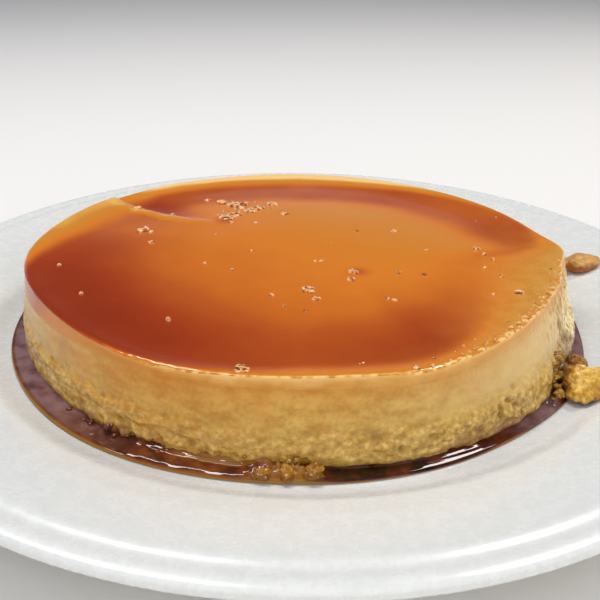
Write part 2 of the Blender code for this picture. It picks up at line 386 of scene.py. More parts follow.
@dataclass
class FlanForm:
    """The flan's outline and heights for whole arrays of points, as its solids have them."""

    top_radius: float = 83.8 * MM
    base_radius: float = 90.2 * MM
    caramel_thickness: float = 3.2 * MM
    lip_round: float = 0.6 * MM
    lip_width: float = 0.78 * MM
    moat_depth: float = 1.0 * MM
    gap: float = 0.3 * MM
    # The crease is an arc over the top's back left, with an uneven ridge along it, whole from crease_start in.
    # Behind it the top has sunk: how sharply, how deep and how far back. The crease and the sinking die out
    # between the two places of crease_end, along X.
    crease_centre: tuple[float, float] = (-1 * MM, 124 * MM)
    crease_radius: float = 103.4 * MM
    crease_edge: float = 1.7 * MM
    crease_ridge: float = 0.35 * MM
    crease_width: float = 2.3 * MM
    crease_grain: float = 4 * MM
    crease_wander: float = 0.7
    crease_unevenness: float = 0.5
    crease_start: float = 4 * MM
    crease_end: tuple[float, float] = (-54 * MM, -29 * MM)
    sink_depth: float = 1.1 * MM
    sink_level: float = 4 * MM
    sink_reach: float = 16 * MM
    top_lobes: tuple[Lobe, ...] = table_of(
        Lobe, (147, 22, 4.6 * MM), (-175, 25, 5.8 * MM), (-118, 22, 2.8 * MM), (-68, 10, 2.0 * MM),
        (-34, 20, -2.4 * MM), (2, 7, 3.6 * MM), (55, 35, -1.4 * MM),
    )
    base_lobes: tuple[Lobe, ...] = table_of(
        Lobe, (-172, 16, 0.9 * MM), (-66, 19, 1.8 * MM), (-43, 10, 0.8 * MM), (-27, 14, -1.5 * MM),
        (30, 12, 0.8 * MM), (118, 20, 1.2 * MM),
    )
    layer_lobes: tuple[Lobe, ...] = (Lobe(-172, 34, 3.6 * MM),)
    # From the foot up: (share of the height, share of the way from the foot's outline to the top's).
    side_profile: Pairs = (
        (0.00, 0.22), (0.09, 0.00), (0.22, 0.02), (0.36, 0.16), (0.47, 0.42), (0.58, 0.50), (0.69, 0.62),
        (1.00, 1.00),
    )
    # In from the lip: (distance, share of the moat's depth).
    moat_profile: Pairs = (
        (0.78 * MM, 0.00), (5 * MM, 0.55), (15 * MM, 1.00), (27 * MM, 0.85), (42 * MM, 0.50), (62 * MM, 0.25)
    )
    # How far the corners of both profiles are rounded, and in what steps.
    corner_reach: float = 0.025
    corner_step: float = 0.005
    moat_reach: float = 2.0 * MM
    moat_step: float = 0.25 * MM
    # Where the lip slopes off instead of ending crisply, how far in that starts, and how full the slope is.
    bevel_lobes: tuple[Lobe, ...] = table_of(
        Lobe, (-115, 8.5, 0.41 * MM, 6), (-69, 4.5, 0.40 * MM, 6), (-160, 22, 0.4 * MM)
    )
    bevel_reach: float = 0.95 * MM
    bevel_bulge: float = 0.15
    bevel_wander: float = 0.7
    bevel_grain: float = 2.0 * MM
    # The lip's fine ripples: how far apart, how high and how far in.
    ripple_size: float = 1.5 * MM
    ripple_height: float = 0.07 * MM
    ripple_reach: float = 1.6 * MM
    ragged_lip: Lobe = Lobe(-34, 30, 0.20 * MM, 4)
    # The top isn't dead flat: how far apart its faint swells are, how high, and how far in they are whole.
    swell_size: float = 22 * MM
    swell_height: float = 0.06 * MM
    swell_start: float = 8 * MM

    def __post_init__(self) -> None:
        """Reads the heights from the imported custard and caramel, and rounds the profiles' corners."""
        self.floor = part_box("custard")[0].z - self.gap
        self.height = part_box("caramel_top")[1].z - self.floor
        self.soft_side = softened(self.side_profile, self.corner_reach, self.corner_step)
        self.soft_moat = softened(self.moat_profile, self.moat_reach, self.moat_step)

    def radius(self, angle: Array, share: Array) -> Array:
        """The side's distance from the middle.

        Args:
            angle: Each point's angle.
            share: Its height above the well, as a share of the flan's.

        Returns:
            The distances.
        """
        base = self.base_radius + lobe_sum(self.base_lobes, angle)
        top = self.top_radius + lobe_sum(self.top_lobes, angle)
        return base + (top - base) * along(self.soft_side, share)

    def seam(self, angle: Array) -> Array:
        """How far above the well the custard meets the caramel at the side."""
        return self.height - self.caramel_thickness - lobe_sum(self.layer_lobes, angle)

    def behind_crease(self, x: Array, y: Array) -> Array:
        """How far behind the crease each point is, negative in front of it."""
        return self.crease_radius - np.hypot(x - self.crease_centre[0], y - self.crease_centre[1])

    def creased(self, x: Array) -> Array:
        """1 where the crease is whole, 0 past its end."""
        start, end = self.crease_end
        return 1 - smooth_step((x - start) / (end - start))

    def sink(self, x: Array, y: Array) -> Array:
        """How far the top has dropped: sharply behind the crease, less and less further back.

        Args:
            x: Each point's place along X.
            y: Its place along Y.

        Returns:
            The drops, negative where the crease's ridge stands up.
        """
        behind = self.behind_crease(x, y)
        back = np.exp(-((np.clip(behind - self.sink_level, 0, None) / self.sink_reach) ** 2))
        ridge = self.crease_ridge * self.ridge(x, y)
        return self.creased(x) * self.sink_depth * smooth_step(behind / self.crease_edge) * back - ridge

    def ridge(self, x: Array, y: Array) -> Array:
        """How much of the crease's uneven ridge there is.

        Args:
            x: Each point's place along X.
            y: Its place along Y.

        Returns:
            The ridge's share at each point, up to about 1.
        """
        flat = spread(x, y)
        wander = self.crease_width * (1 + self.crease_wander * fractal(flat, self.crease_grain, 2, 9.4))
        across = (self.behind_crease(x, y) + wander) / self.crease_width
        uneven = 1 + self.crease_unevenness * fractal(flat, self.crease_grain, 2, 3.3)
        return self.creased(x) * np.exp(-(across**2)) * uneven

    def bevel(self, angle: Array) -> Array:
        """How far the lip's outer edge has slipped down at each angle."""
        wander = 1 + self.bevel_wander * fractal(polar(self.top_radius, angle), self.bevel_grain, 2, 7.3)
        return lobe_sum(self.bevel_lobes, angle) * wander

    def edge_height(self, angle: Array) -> Array:
        """How far above the well the lip's outer edge is.

        Args:
            angle: Each point's angle.

        Returns:
            The heights.
        """
        reach = self.radius(angle, np.ones_like(angle))
        sunk = self.sink(reach * np.cos(angle), reach * np.sin(angle))
        return self.height - self.lip_round - self.bevel(angle) - np.clip(sunk, 0, None)

    def top_height(self, angle: Array, inset: Array) -> Array:
        """The height of the caramel's surface.

        Args:
            angle: Each point's angle, the same in every row.
            inset: How far in from the top's edge it is.

        Returns:
            The heights above the table.
        """
        reach = self.radius(angle, np.ones_like(angle)) - inset
        x, y = reach * np.cos(angle), reach * np.sin(angle)
        lip = self.lip_round * (1 - np.sqrt(1 - np.clip(1 - inset / self.lip_width, 0.0, 1.0) ** 2))
        moat = self.moat_depth * along(self.soft_moat, inset) * smooth_step(inset / self.lip_width)
        points = spread(x, y)
        swell = self.swell_height * (fractal(points, self.swell_size, 2) - 1)
        swell = swell * smooth_step(inset / self.swell_start)
        slope = np.clip(1 - inset / self.bevel_reach, 0, 1)
        bevel = self.bevel(angle[:1]) * (slope + self.bevel_bulge * slope * (1 - slope))
        near = np.exp(-inset / self.ripple_reach) * smooth_step(inset / self.lip_width)
        rough = self.ripple_height + self.ragged_lip.at(angle)
        ripple = rough * near * (fractal(points, self.ripple_size, 2, 5.2) - 1)
        drop = np.clip(self.sink(x, y), -self.crease_ridge * smooth_step(inset / self.crease_start), None)
        return self.floor + self.height - lip - bevel - moat - drop + swell + ripple


@dataclass(frozen=True)
class Dent:
    """A dent in the side, or with a negative depth a knob on it.

    angle and half_width are in degrees round the flan, height and half_height in millimetres above the well,
    and depth in millimetres.
    """

    angle: float
    height: float
    half_width: float
    half_height: float
    depth: float

    def at(self, angle: Array, height: Array) -> Array:
        """How deep it is at each point of the side.

        Args:
            angle: Each point's angle.
            height: Each point's height above the well.

        Returns:
            The depths.
        """
        across = off_middle(angle, self.angle) / radians(self.half_width)
        up = (height / MM - self.height) / self.half_height
        return self.depth * MM * np.exp(-(across**2) - up**2)


@dataclass(frozen=True)
class FlanSkin:
    """The flan side's fine relief, stains, painted light and painted shade, shared by custard and caramel."""

    form: FlanForm
    sectors: int = 800
    # The ledge half-way up: the curdled lower part stands proud of the smooth upper part. Its place, how far
    # up and down it strays, how sharp it is and how far below it the custard bulges, as shares of the height.
    ledge_at: float = 0.43
    ledge_wander: float = 0.085
    ledge_stray_at: float = 0.42
    ledge_stray_span: float = 0.40
    ledge_stretch: float = 9 * MM
    ledge_edge: float = 0.03
    ledge_bulge: float = 0.10
    ledge_depth: float = 0.5 * MM
    # Up to where the lower part is rough, and over how much that ends, as shares of the height.
    rough_to: float = 0.56
    rough_edge: float = 0.22
    # The relief dies out this near to the top's edge.
    lip_fade: float = 1.6 * MM
    curd_size: float = 4.0 * MM
    curd_height: float = 0.38 * MM
    crumb_size: float = 2.1 * MM
    crumb_height: float = 0.22 * MM
    crumb_level: float = 0.60
    crumb_range: tuple[float, float] = (-0.25, 0.6)
    crumb_patch: float = 9 * MM
    # Pits: how far apart, how wide as a share of that, how deep, and how many of the places have one.
    pit_size: float = 4.6 * MM
    pit_width: float = 0.40
    pit_depth: float = 0.8 * MM
    pit_share: float = 0.30
    smooth_size: float = 14 * MM
    smooth_height: float = 0.16 * MM
    coarse: Lobe = Lobe(-52, 20, 0.5)
    dents: tuple[Dent, ...] = table_of(
        Dent, (-24.5, 13.0, 1.2, 7.0, 0.8), (-21.5, 9.0, 1.2, 2.6, 1.0), (-17.0, 17.0, 1.6, 3.0, -0.6),
        (-78.0, 9.2, 1.5, 1.6, 0.9), (-77.4, 6.6, 1.6, 0.7, -0.7), (-68.8, 7.7, 0.9, 0.7, 0.8),
        (-50.8, 7.9, 0.9, 0.7, 0.6), (-50.7, 5.2, 1.1, 0.7, -0.6), (-67.0, 10.1, 3.0, 0.5, -0.4),
        (-62.6, 10.8, 2.4, 0.5, -0.4), (-58.0, 11.7, 3.0, 0.5, -0.4), (-53.0, 11.5, 3.0, 0.5, -0.4),
        (-48.4, 10.4, 2.4, 0.5, -0.4), (-121.6, 5.9, 1.3, 0.8, 0.9), (-117.0, 7.6, 3.0, 0.6, -0.5),
        (-107.9, 8.6, 2.4, 0.5, 0.6), (-107.9, 7.0, 1.6, 0.4, -0.6), (-86.0, 5.0, 1.4, 0.8, -0.7),
    )
    # The torn end: where it is, how crisply it ends, how rough it is, and its upright ridges.
    torn: Lobe = Lobe(-12, 15, 1.0)
    torn_gain: float = 1.5
    torn_roughness: float = 0.7
    ridge_size: float = 1.5 * MM
    ridge_length: float = 9 * MM
    ridge_height: float = 0.75 * MM
    # How high the soaking climbs, how soft its edge is, how far it strays and in what waves.
    soak_height: float = 3.9 * MM
    soak_lobes: tuple[Lobe, ...] = table_of(
        Lobe, (-120, 12, 1.6 * MM), (-103, 9, -1.8 * MM, 4), (-90, 6, -0.8 * MM), (-76, 8, -0.6 * MM, 4),
        (-58, 10, 3.2 * MM, 4), (-25, 10, 8.0 * MM), (90, 50, 0.8 * MM),
    )
    soak_edge: float = 2.6 * MM
    soak_wander: float = 1.6 * MM
    soak_grain: float = 3.6 * MM
    # The foot itself is soaked through: how high, how softly that ends and how much more than the rest.
    soak_foot: float = 1.6 * MM
    soak_foot_lobes: tuple[Lobe, ...] = table_of(
        Lobe, (-121, 13, 1.8 * MM), (-54, 6, 2.4 * MM), (-28, 9, 3.6 * MM)
    )
    soak_foot_edge: float = 1.4 * MM
    soak_foot_share: float = 0.50
    # The wet lumps at the foot: where, how large, how high up and over how much they end.
    lumps: Lobe = Lobe(-115, 17, 1.5 * MM)
    lump_size: float = 3.4 * MM
    lumps_to: float = 6.0 * MM
    lumps_edge: float = 2.5 * MM
    # How far caramel has stained the side below the top's edge, in runs.
    stain_reach: float = 4.6 * MM
    stain_lobes: tuple[Lobe, ...] = table_of(
        Lobe, (-122, 32, 6.5 * MM), (-35, 25, -1.8 * MM), (60, 60, 0.8 * MM)
    )
    stain_wander: float = 0.45
    stain_grain: float = 5 * MM
    # Where the upper part is painted paler as light falling on it, and from what share of the height up.
    painted_light_lobes: tuple[Lobe, ...] = (Lobe(-43, 25, 0.9), Lobe(-170, 22, 1.0))
    painted_light_from: float = 0.35
    painted_light_edge: float = 0.25
    # A dent this deep gets the whole painted shade.
    shaded_depth: float = 0.8 * MM
    # The glossy skirt of caramel that hangs over the side at the left: how soft its hem is, how far it hangs
    # past the seam, and how dark it is.
    film_lobes: tuple[Lobe, ...] = (Lobe(-165, 26, 1.25),)
    film_edge: float = 1.1 * MM
    film_hem: float = 0.4 * MM
    film_depth: float = 0.50
    # The film rounds the lip everywhere: how far down, and how slowly and how much it darkens there.
    # Just under the lip it is palest: thin caramel, with a painted highlight along the lip.
    lip_film: float = 1.5 * MM
    lip_clear: float = 1.8 * MM
    lip_depth: tuple[float, float] = (0.01, 0.05)
    lip_film_lobes: tuple[Lobe, ...] = (Lobe(-84, 34, 2.6 * MM, 4),)
    # A golden line under the skirt at the left is a painted highlight: how far below the seam, how wide,
    # how far it strays.
    streaks_and_painted_light: Lobe = Lobe(-143, 20, 1.0, 4)
    streak_drop: float = 0.5 * MM
    streak_width: float = 0.8 * MM
    streak_wander: float = 0.4 * MM

    def ledge(self, angle: Array) -> Array:
        """How far the ledge strays round the flan, as a share of the height."""
        return self.ledge_wander * fractal(polar(self.form.base_radius, angle), self.ledge_stretch, 4, 3.1)

    def side(self, angle: Array, height: Array) -> tuple[Array, Traits]:
        """The side's points, with their relief, and what the finishes read from them.

        Args:
            angle: Each point's angle.
            height: Each point's height above the well.

        Returns:
            The points, and the traits by name.
        """
        form = self.form
        share = height / form.height
        off_ledge = np.abs(share - self.ledge_stray_at) / self.ledge_stray_span
        stray = self.ledge(angle) * np.clip(1 - off_ledge, 0.0, 1.0)
        reach = form.radius(angle, share + stray)
        point = polar(reach, angle, form.floor + height)
        torn = np.clip(self.torn.at(angle) * self.torn_gain, 0.0, 1.0)
        lower = smooth_step((self.rough_to - share - stray) / self.rough_edge)
        rough = np.maximum(lower * (1 + self.coarse.at(angle)), self.torn_roughness * torn)
        curd = fractal(point * (1.0, 1.0, 1.6), self.curd_size, 4)
        crumb, _ = cells(point, self.crumb_size, 2.9)
        patch = smooth_step(0.5 + 1.6 * fractal(point, self.crumb_patch, 2, 6.6))
        near, own = cells(point, self.pit_size, 5.5)
        pit = smooth_step(1 - near / self.pit_width) * (own < self.pit_share)
        stretched = point * (1.0, 1.0, self.ridge_size / self.ridge_length)
        ridge = fractal(stretched, self.ridge_size, 3, 7.7)
        below_ledge = self.ledge_at - share - stray
        under = smooth_step(below_ledge / self.ledge_edge)
        under = under * np.exp(-np.clip(below_ledge, 0, 1) / self.ledge_bulge)
        lump = np.clip(fractal(point, self.lump_size, 2, 1.9) + 0.25, 0.0, None)
        lumpy = self.lumps.at(angle) * smooth_step((self.lumps_to - height) / self.lumps_edge)
        relief = (
            self.curd_height * curd * rough
            + self.crumb_height * np.clip(self.crumb_level - crumb, *self.crumb_range) * patch * rough
            - self.pit_depth * pit * rough
            + self.smooth_height * fractal(point, self.smooth_size, 3, 2.2) * (1 - lower)
            + self.ledge_depth * under * (1 - torn)
            + self.ridge_height * ridge * torn
            + lumpy * lump
            - sum(dent.at(angle, height) for dent in self.dents)
        )
        below = form.height - height
        fade = smooth_step(below / self.lip_fade)
        point = polar(reach + relief * fade, angle, form.floor + height)
        drip = 1 + self.stain_wander * fractal(stretched, self.stain_grain, 3, 4.4)
        stain = np.exp(-below / ((self.stain_reach + lobe_sum(self.stain_lobes, angle)) * drip))
        soaked_to = self.soak_height + lobe_sum(self.soak_lobes, angle)
        soaked_to = soaked_to + self.soak_wander * fractal(point, self.soak_grain, 3, 8.8)
        over_seam = height - form.seam(angle)
        film = lobe_sum(self.film_lobes, angle) * smooth_step((over_seam + self.film_hem) / self.film_edge)
        foot = self.soak_foot + lobe_sum(self.soak_foot_lobes, angle) - height
        foot = smooth_step(foot / self.soak_foot_edge)
        # The painted highlight under the skirt: clear film in place of stain.
        under_seam = (over_seam + self.streak_drop + self.streak_wander * curd) / self.streak_width
        streak = self.streaks_and_painted_light.at(angle) * np.exp(-(under_seam**2))
        lip_film = self.lip_film + lobe_sum(self.lip_film_lobes, angle)
        rounded = smooth_step((1 - below / lip_film + 0.25 * curd) / 0.9)
        wet = smooth_step((soaked_to - height) / self.soak_edge)
        pale = np.clip(lobe_sum(self.painted_light_lobes, angle), 0, 1)
        clear, darkening = self.lip_depth
        lip_dark = clear + darkening * smooth_step(below / self.lip_clear)
        traits = {
            "stain": stain * (1 - 0.5 * streak),
            "soak": wet * (1 - self.soak_foot_share * (1 - foot)),
            # Painted light on the brightly lit upper side.
            "pale": pale * smooth_step((share - self.painted_light_from) / self.painted_light_edge),
            # Painted shade in dents and pits, darker the deeper the relief sinks.
            "hollow": np.clip(-relief / self.shaded_depth, 0, 1) * fade,
            "curd": np.clip(rough, 0, 1.4) * fade,
            "torn": torn * smooth_step((share - 0.05) / 0.2),
            "film": np.clip(film + 0.8 * streak + rounded, 0, 1),
            "depth": lip_dark + self.film_depth * np.clip(film, 0, 1),
        }
        return point, traits


# ---------------------------------------------------------------- finishes


@dataclass(frozen=True)
class Finish:
    """What every finish has: its name and the constants of its shader."""

    name: str = "finish"
    roughness: float = 0.4
    ior: float = 1.45
    coat: float = 0.0
    coat_roughness: float = 0.05
    glow: float = 0.0
    glow_reach: float = 2 * MM
    glow_tint: tuple[float, float, float] = (1.0, 0.5, 0.2)

    def begin(self) -> tuple[Material, Tree, Node]:
        """Starts the material.

        Returns:
            A material with its constants set, its node tree and its shader.
        """
        made = bpy.data.materials.new(self.name)
        made.use_nodes = True
        shader = made.node_tree.nodes["Principled BSDF"]
        constants = {
            "Roughness": self.roughness,
            "IOR": self.ior,
            "Coat Weight": self.coat,
            "Coat Roughness": self.coat_roughness,
            "Subsurface Weight": self.glow,
            "Subsurface Scale": self.glow_reach,
            "Subsurface Radius": self.glow_tint,
        }
        for socket, value in constants.items():
            shader.inputs[socket].default_value = value
        return made, made.node_tree, shader


@dataclass(frozen=True)
class GlazedStoneware(Finish):
    """Ivory glaze over stoneware, fired to a satin gloss: soft cloudy mottling and a faint orange peel."""

    name: str = "glazed_stoneware"
    roughness: float = 0.24
    ior: float = 1.52
    coat: float = 0.25
    coat_roughness: float = 0.12
    pale: str = "#dcdedc"
    dull: str = "#d7d9d6"
    # Where the clouds are the glaze is a little more matt: the least and the most roughness.
    satin: tuple[float, float] = (0.20, 0.32)
    cloud: float = 4 * MM
    fleck: float = 1.2 * MM
    peel: float = 1.1 * MM
    peel_strength: float = 0.10
    peel_height: float = 0.08 * MM

    def material(self) -> Material:
        """Mixes the glaze.

        Returns:
            Its material.
        """
        made, tree, shader = self.begin()
        place = add_node(tree, "ShaderNodeTexCoord").outputs["Object"]
        cloud, fleck = per(self.cloud), per(self.fleck)
        clouds = add_node(
            tree, "ShaderNodeTexNoise", {"Vector": place, "Scale": cloud, "Detail": 4.0, "Roughness": 0.6}
        )
        flecks = add_node(tree, "ShaderNodeTexNoise", {"Vector": place, "Scale": fleck, "Detail": 3.0})
        both = add_node(tree, "ShaderNodeMath", {0: clouds, 1: flecks}, operation="ADD")
        half = add_node(tree, "ShaderNodeMath", {0: both, 1: 0.5}, operation="MULTIPLY")
        tone = add_node(tree, "ShaderNodeValToRGB", {"Fac": half}, ((0.40, self.dull), (0.56, self.pale)))
        tree.links.new(tone.outputs["Color"], shader.inputs["Base Color"])
        least, most = self.satin
        sheen = add_node(
            tree,
            "ShaderNodeMapRange",
            {"Value": clouds, "From Min": 0.3, "From Max": 0.7, "To Min": least, "To Max": most},
        )
        tree.links.new(sheen.outputs["Result"], shader.inputs["Roughness"])
        skin = add_node(tree, "ShaderNodeTexNoise", {"Vector": place, "Scale": per(self.peel), "Detail": 2.0})
        bump = add_node(
            tree,
            "ShaderNodeBump",
            {"Height": skin, "Strength": self.peel_strength, "Distance": self.peel_height},
        )
        tree.links.new(bump.outputs["Normal"], shader.inputs["Normal"])
        return made


@dataclass(frozen=True)
class SteamedCustard(Finish):
    """Egg custard set in a water bath: a close, slightly glassy gel, stained and soaked by caramel."""

    name: str = "steamed_custard"
    roughness: float = 0.36
    ior: float = 1.40
    coat: float = 0.30
    coat_roughness: float = 0.12
    glow: float = 0.12
    glow_reach: float = 1.0 * MM
    shade: str = "#b28632"
    middle: str = "#c7a04a"
    light: str = "#d8b45e"
    # Painted light on the brightly lit upper side.
    pale: str = "#d9ba7c"
    stain: str = "#c7760c"
    # Painted shade in dents, pits and pores.
    hollow: str = "#8e6c2c"
    soaked: str = "#724020"
    # Curdled egg: olive where the whey has gone, yellow where the curd is thick.
    flecks: Stops = ((0.30, "#846426"), (0.42, "#b28c42"), (0.56, "#c49e50"), (0.70, "#e6c87c"))
    fleck: float = 1.4 * MM
    # The torn end's streaked colour, lightened as painted light where the end is poorly lit.
    streaks_and_painted_light: Stops = ((0.34, "#a07a30"), (0.44, "#e2c47a"), (0.56, "#fff0c0"))
    broad: float = 6 * MM
    layering: float = 2.2
    fine: float = 1.2 * MM
    fine_share: float = 0.55
    fleck_share: float = 0.62
    # How strongly and how high the fine grain stands up.
    grain_strength: float = 0.75
    grain_height: float = 0.3 * MM
    # Pores that the whey has left, darkened as painted shade: how far apart, and how wide and how soft,
    # as shares of that.
    pore: float = 2.4 * MM
    pore_width: tuple[float, float] = (0.20, 0.10)
    pore_share: float = 0.62
    streak: float = 1.1 * MM
    streak_length: float = 14 * MM
    wet_roughness: float = 0.10

    def colour(self, tree: Tree) -> tuple[Socket, Socket, Socket]:
        """Mixes the custard's colour.

        Args:
            tree: The material's node tree.

        Returns:
            The sockets of the colour, of the fine grain and of the soaking.
        """
        place = add_node(tree, "ShaderNodeTexCoord").outputs["Object"]
        traits = {
            name: add_node(tree, "ShaderNodeAttribute", attribute_name=name).outputs["Fac"]
            for name in ("stain", "soak", "pale", "hollow", "torn", "curd")
        }
        layered = add_node(tree, "ShaderNodeMapping", {"Vector": place, "Scale": (1.0, 1.0, self.layering)})
        broad = add_node(
            tree, "ShaderNodeTexNoise", {"Vector": layered, "Scale": per(self.broad), "Detail": 4.0}
        )
        fine = add_node(
            tree,
            "ShaderNodeTexNoise",
            {"Vector": place, "Scale": per(self.fine), "Detail": 4.0, "Roughness": 0.6},
        )
        both = add_node(
            tree, "ShaderNodeMath", {0: fine, 1: self.fine_share, 2: broad}, operation="MULTIPLY_ADD"
        )
        tone = add_node(
            tree,
            "ShaderNodeValToRGB",
            {"Fac": both},
            ((0.62, self.shade), (0.78, self.middle), (0.95, self.light)),
        )
        speck = add_node(
            tree,
            "ShaderNodeTexNoise",
            {"Vector": place, "Scale": per(self.fleck), "Detail": 2.0, "Roughness": 0.45},
        )
        flecks = add_node(tree, "ShaderNodeValToRGB", {"Fac": speck}, self.flecks)
        stretch = add_node(
            tree, "ShaderNodeMapping", {"Vector": place, "Scale": (1.0, 1.0, self.streak / self.streak_length)}
        )
        lines = add_node(
            tree, "ShaderNodeTexNoise", {"Vector": stretch, "Scale": per(self.streak), "Detail": 3.0}
        )
        streaks_and_painted_light = add_node(tree, "ShaderNodeValToRGB", {"Fac": lines}, self.streaks_and_painted_light)
        flecked = add_node(
            tree, "ShaderNodeMath", {0: traits["curd"], 1: self.fleck_share}, operation="MULTIPLY"
        )
        holes = add_node(tree, "ShaderNodeTexVoronoi", {"Vector": layered, "Scale": per(self.pore)})
        wide, none = self.pore_width
        pore = add_node(
            tree,
            "ShaderNodeMapRange",
            {"Value": holes.outputs["Distance"], "From Min": wide, "From Max": none, "To Max": self.pore_share},
        )
        pored = add_node(tree, "ShaderNodeMath", {0: pore, 1: traits["curd"]}, operation="MULTIPLY")
        colour = tone
        # Laid on: flecks, painted light, painted shade in pores and dents, lit torn streaks, stain and soaking.
        layers = (
            (flecked, flecks),
            (traits["pale"], linear(self.pale)),
            (pored, linear(self.hollow)),
            (traits["torn"], streaks_and_painted_light),
            (traits["hollow"], linear(self.hollow)),
            (traits["stain"], linear(self.stain)),
            (traits["soak"], linear(self.soaked)),
        )
        for share, over in layers:
            mixed = add_node(
                tree, "ShaderNodeMix", {MIX_FACTOR: share, MIX_LOW: colour, MIX_HIGH: over}, data_type="RGBA"
            )
            colour = mixed.outputs[MIX_RESULT]
        return colour, fine.outputs["Fac"], traits["soak"]

    def material(self) -> Material:
        """Mixes the custard.

        Returns:
            Its material.
        """
        made, tree, shader = self.begin()
        colour, grain, soak = self.colour(tree)
        tree.links.new(colour, shader.inputs["Base Color"])
        wetness = add_node(
            tree, "ShaderNodeMapRange", {"Value": soak, "To Min": self.roughness, "To Max": self.wet_roughness}
        )
        tree.links.new(wetness.outputs["Result"], shader.inputs["Roughness"])
        bump = add_node(
            tree,
            "ShaderNodeBump",
            {"Height": grain, "Strength": self.grain_strength, "Distance": self.grain_height},
        )
        tree.links.new(bump.outputs["Normal"], shader.inputs["Normal"])
        return made


@dataclass(frozen=True)
class CaramelFilm(Finish):
    """Burnt sugar dissolved into the custard's top: clear amber where thin, red-brown where it has pooled."""

    name: str = "burnt_sugar_caramel"
    roughness: float = 0.10
    ior: float = 1.46
    glow: float = 0.18
    glow_reach: float = 1.6 * MM
    glow_tint: tuple[float, float, float] = (1.0, 0.4, 0.12)
    custard: SteamedCustard = SteamedCustard()
    # The palest stops carry the painted highlight along the lip and the painted light at the back rim.
    shades: Stops = (
        (0.00, "#eec480"), (0.07, "#dba452"), (0.15, "#c8852e"), (0.25, "#cc7e26"), (0.36, "#d07823"),
        (0.46, "#c66b1e"), (0.60, "#b0521a"), (0.80, "#983710"), (1.00, "#7e250a"),
    )
    drift: float = 12 * MM
    drift_amount: float = 0.10
    # How strongly the custard's grain shows where there is no film and under a whole one, and how high.
    grain_bare: float = 0.45
    grain_filmed: float = 0.04
    grain_height: float = 0.25 * MM

    def material(self) -> Material:
        """Mixes the caramel, which turns into the custard where the film ends.

        Returns:
            Its material.
        """
        made, tree, shader = self.begin()
        under, grain, _ = self.custard.colour(tree)
        place = add_node(tree, "ShaderNodeTexCoord").outputs["Object"]
        film = add_node(tree, "ShaderNodeAttribute", attribute_name="film").outputs["Fac"]
        depth = add_node(tree, "ShaderNodeAttribute", attribute_name="depth").outputs["Fac"]
        drift = add_node(tree, "ShaderNodeTexNoise", {"Vector": place, "Scale": per(self.drift), "Detail": 3.0})
        centred = add_node(tree, "ShaderNodeMath", {0: drift, 1: 0.5}, operation="SUBTRACT")
        drifted = add_node(
            tree, "ShaderNodeMath", {0: centred, 1: self.drift_amount, 2: depth}, operation="MULTIPLY_ADD"
        )
        amber = add_node(tree, "ShaderNodeValToRGB", {"Fac": drifted}, self.shades)
        mixed = add_node(
            tree, "ShaderNodeMix", {MIX_FACTOR: film, MIX_LOW: under, MIX_HIGH: amber}, data_type="RGBA"
        )
        tree.links.new(mixed.outputs[MIX_RESULT], shader.inputs["Base Color"])
        gloss = add_node(
            tree,
            "ShaderNodeMapRange",
            {"Value": film, "To Min": self.custard.roughness, "To Max": self.roughness},
        )
        tree.links.new(gloss.outputs["Result"], shader.inputs["Roughness"])
        strength = add_node(
            tree, "ShaderNodeMapRange", {"Value": film, "To Min": self.grain_bare, "To Max": self.grain_filmed}
        )
        bump = add_node(
            tree, "ShaderNodeBump", {"Height": grain, "Strength": strength, "Distance": self.grain_height}
        )
        tree.links.new(bump.outputs["Normal"], shader.inputs["Normal"])
        return made


@dataclass(frozen=True)
class CaramelSauce(Finish):
    """Thin caramel sauce: a still, mirror-smooth liquid, near black where deep and amber at its thin edge."""

    name: str = "caramel_sauce"
    roughness: float = 0.05
    ior: float = 1.44
    shades: Stops = (
        (0.00, "#93682c"), (0.18, "#855018"), (0.36, "#743a1a"), (0.60, "#502010"), (1.00, "#220b05")
    )
    # Mauve where dissolved custard has clouded it, with a painted reflection of a bluish-grey backdrop.
    cloudy_and_reflected: str = "#86686a"

    def material(self) -> Material:
        """Mixes the sauce.

        Returns:
            Its material.
        """
        made, tree, shader = self.begin()
        depth = add_node(tree, "ShaderNodeAttribute", attribute_name="depth").outputs["Fac"]
        cloud = add_node(tree, "ShaderNodeAttribute", attribute_name="cloud").outputs["Fac"]
        tone = add_node(tree, "ShaderNodeValToRGB", {"Fac": depth}, self.shades)
        # The cloudiness, with a painted mauve reflection.
        mixed = add_node(
            tree,
            "ShaderNodeMix",
            {MIX_FACTOR: cloud, MIX_LOW: tone, MIX_HIGH: linear(self.cloudy_and_reflected)},
            data_type="RGBA",
        )
        tree.links.new(mixed.outputs[MIX_RESULT], shader.inputs["Base Color"])
        return made


@dataclass(frozen=True)
class Froth(Finish):
    """Air bubbles caught in the caramel: thin pale domes that glint."""

    name: str = "caramel_froth"
    roughness: float = 0.08
    ior: float = 1.38
    coat: float = 0.2
    tints: Stops = ((0.38, "#8e5428"), (0.47, "#cf8848"), (0.58, "#f0bc8a"))
    patch: float = 1.6 * MM

    def material(self) -> Material:
        """Mixes the froth.

        Returns:
            Its material.
        """
        made, tree, shader = self.begin()
        place = add_node(tree, "ShaderNodeTexCoord").outputs["Object"]
        patches = add_node(tree, "ShaderNodeTexNoise", {"Vector": place, "Scale": per(self.patch)})
        tone = add_node(tree, "ShaderNodeValToRGB", {"Fac": patches}, self.tints)
        tree.links.new(tone.outputs["Color"], shader.inputs["Base Color"])
        return made


@dataclass(frozen=True)
class PaintedFloor(Finish):
    """A matt pale table: flat paint, with nothing to take the eye."""

    name: str = "matt_table_paint"
    roughness: float = 0.7
    tone: str = "#e6e4e1"

    def material(self) -> Material:
        """Mixes the paint.

        Returns:
            Its material.
        """
        made, _, shader = self.begin()
        shader.inputs["Base Color"].default_value = linear(self.tone)
        return made


# ---------------------------------------------------------------- the pieces


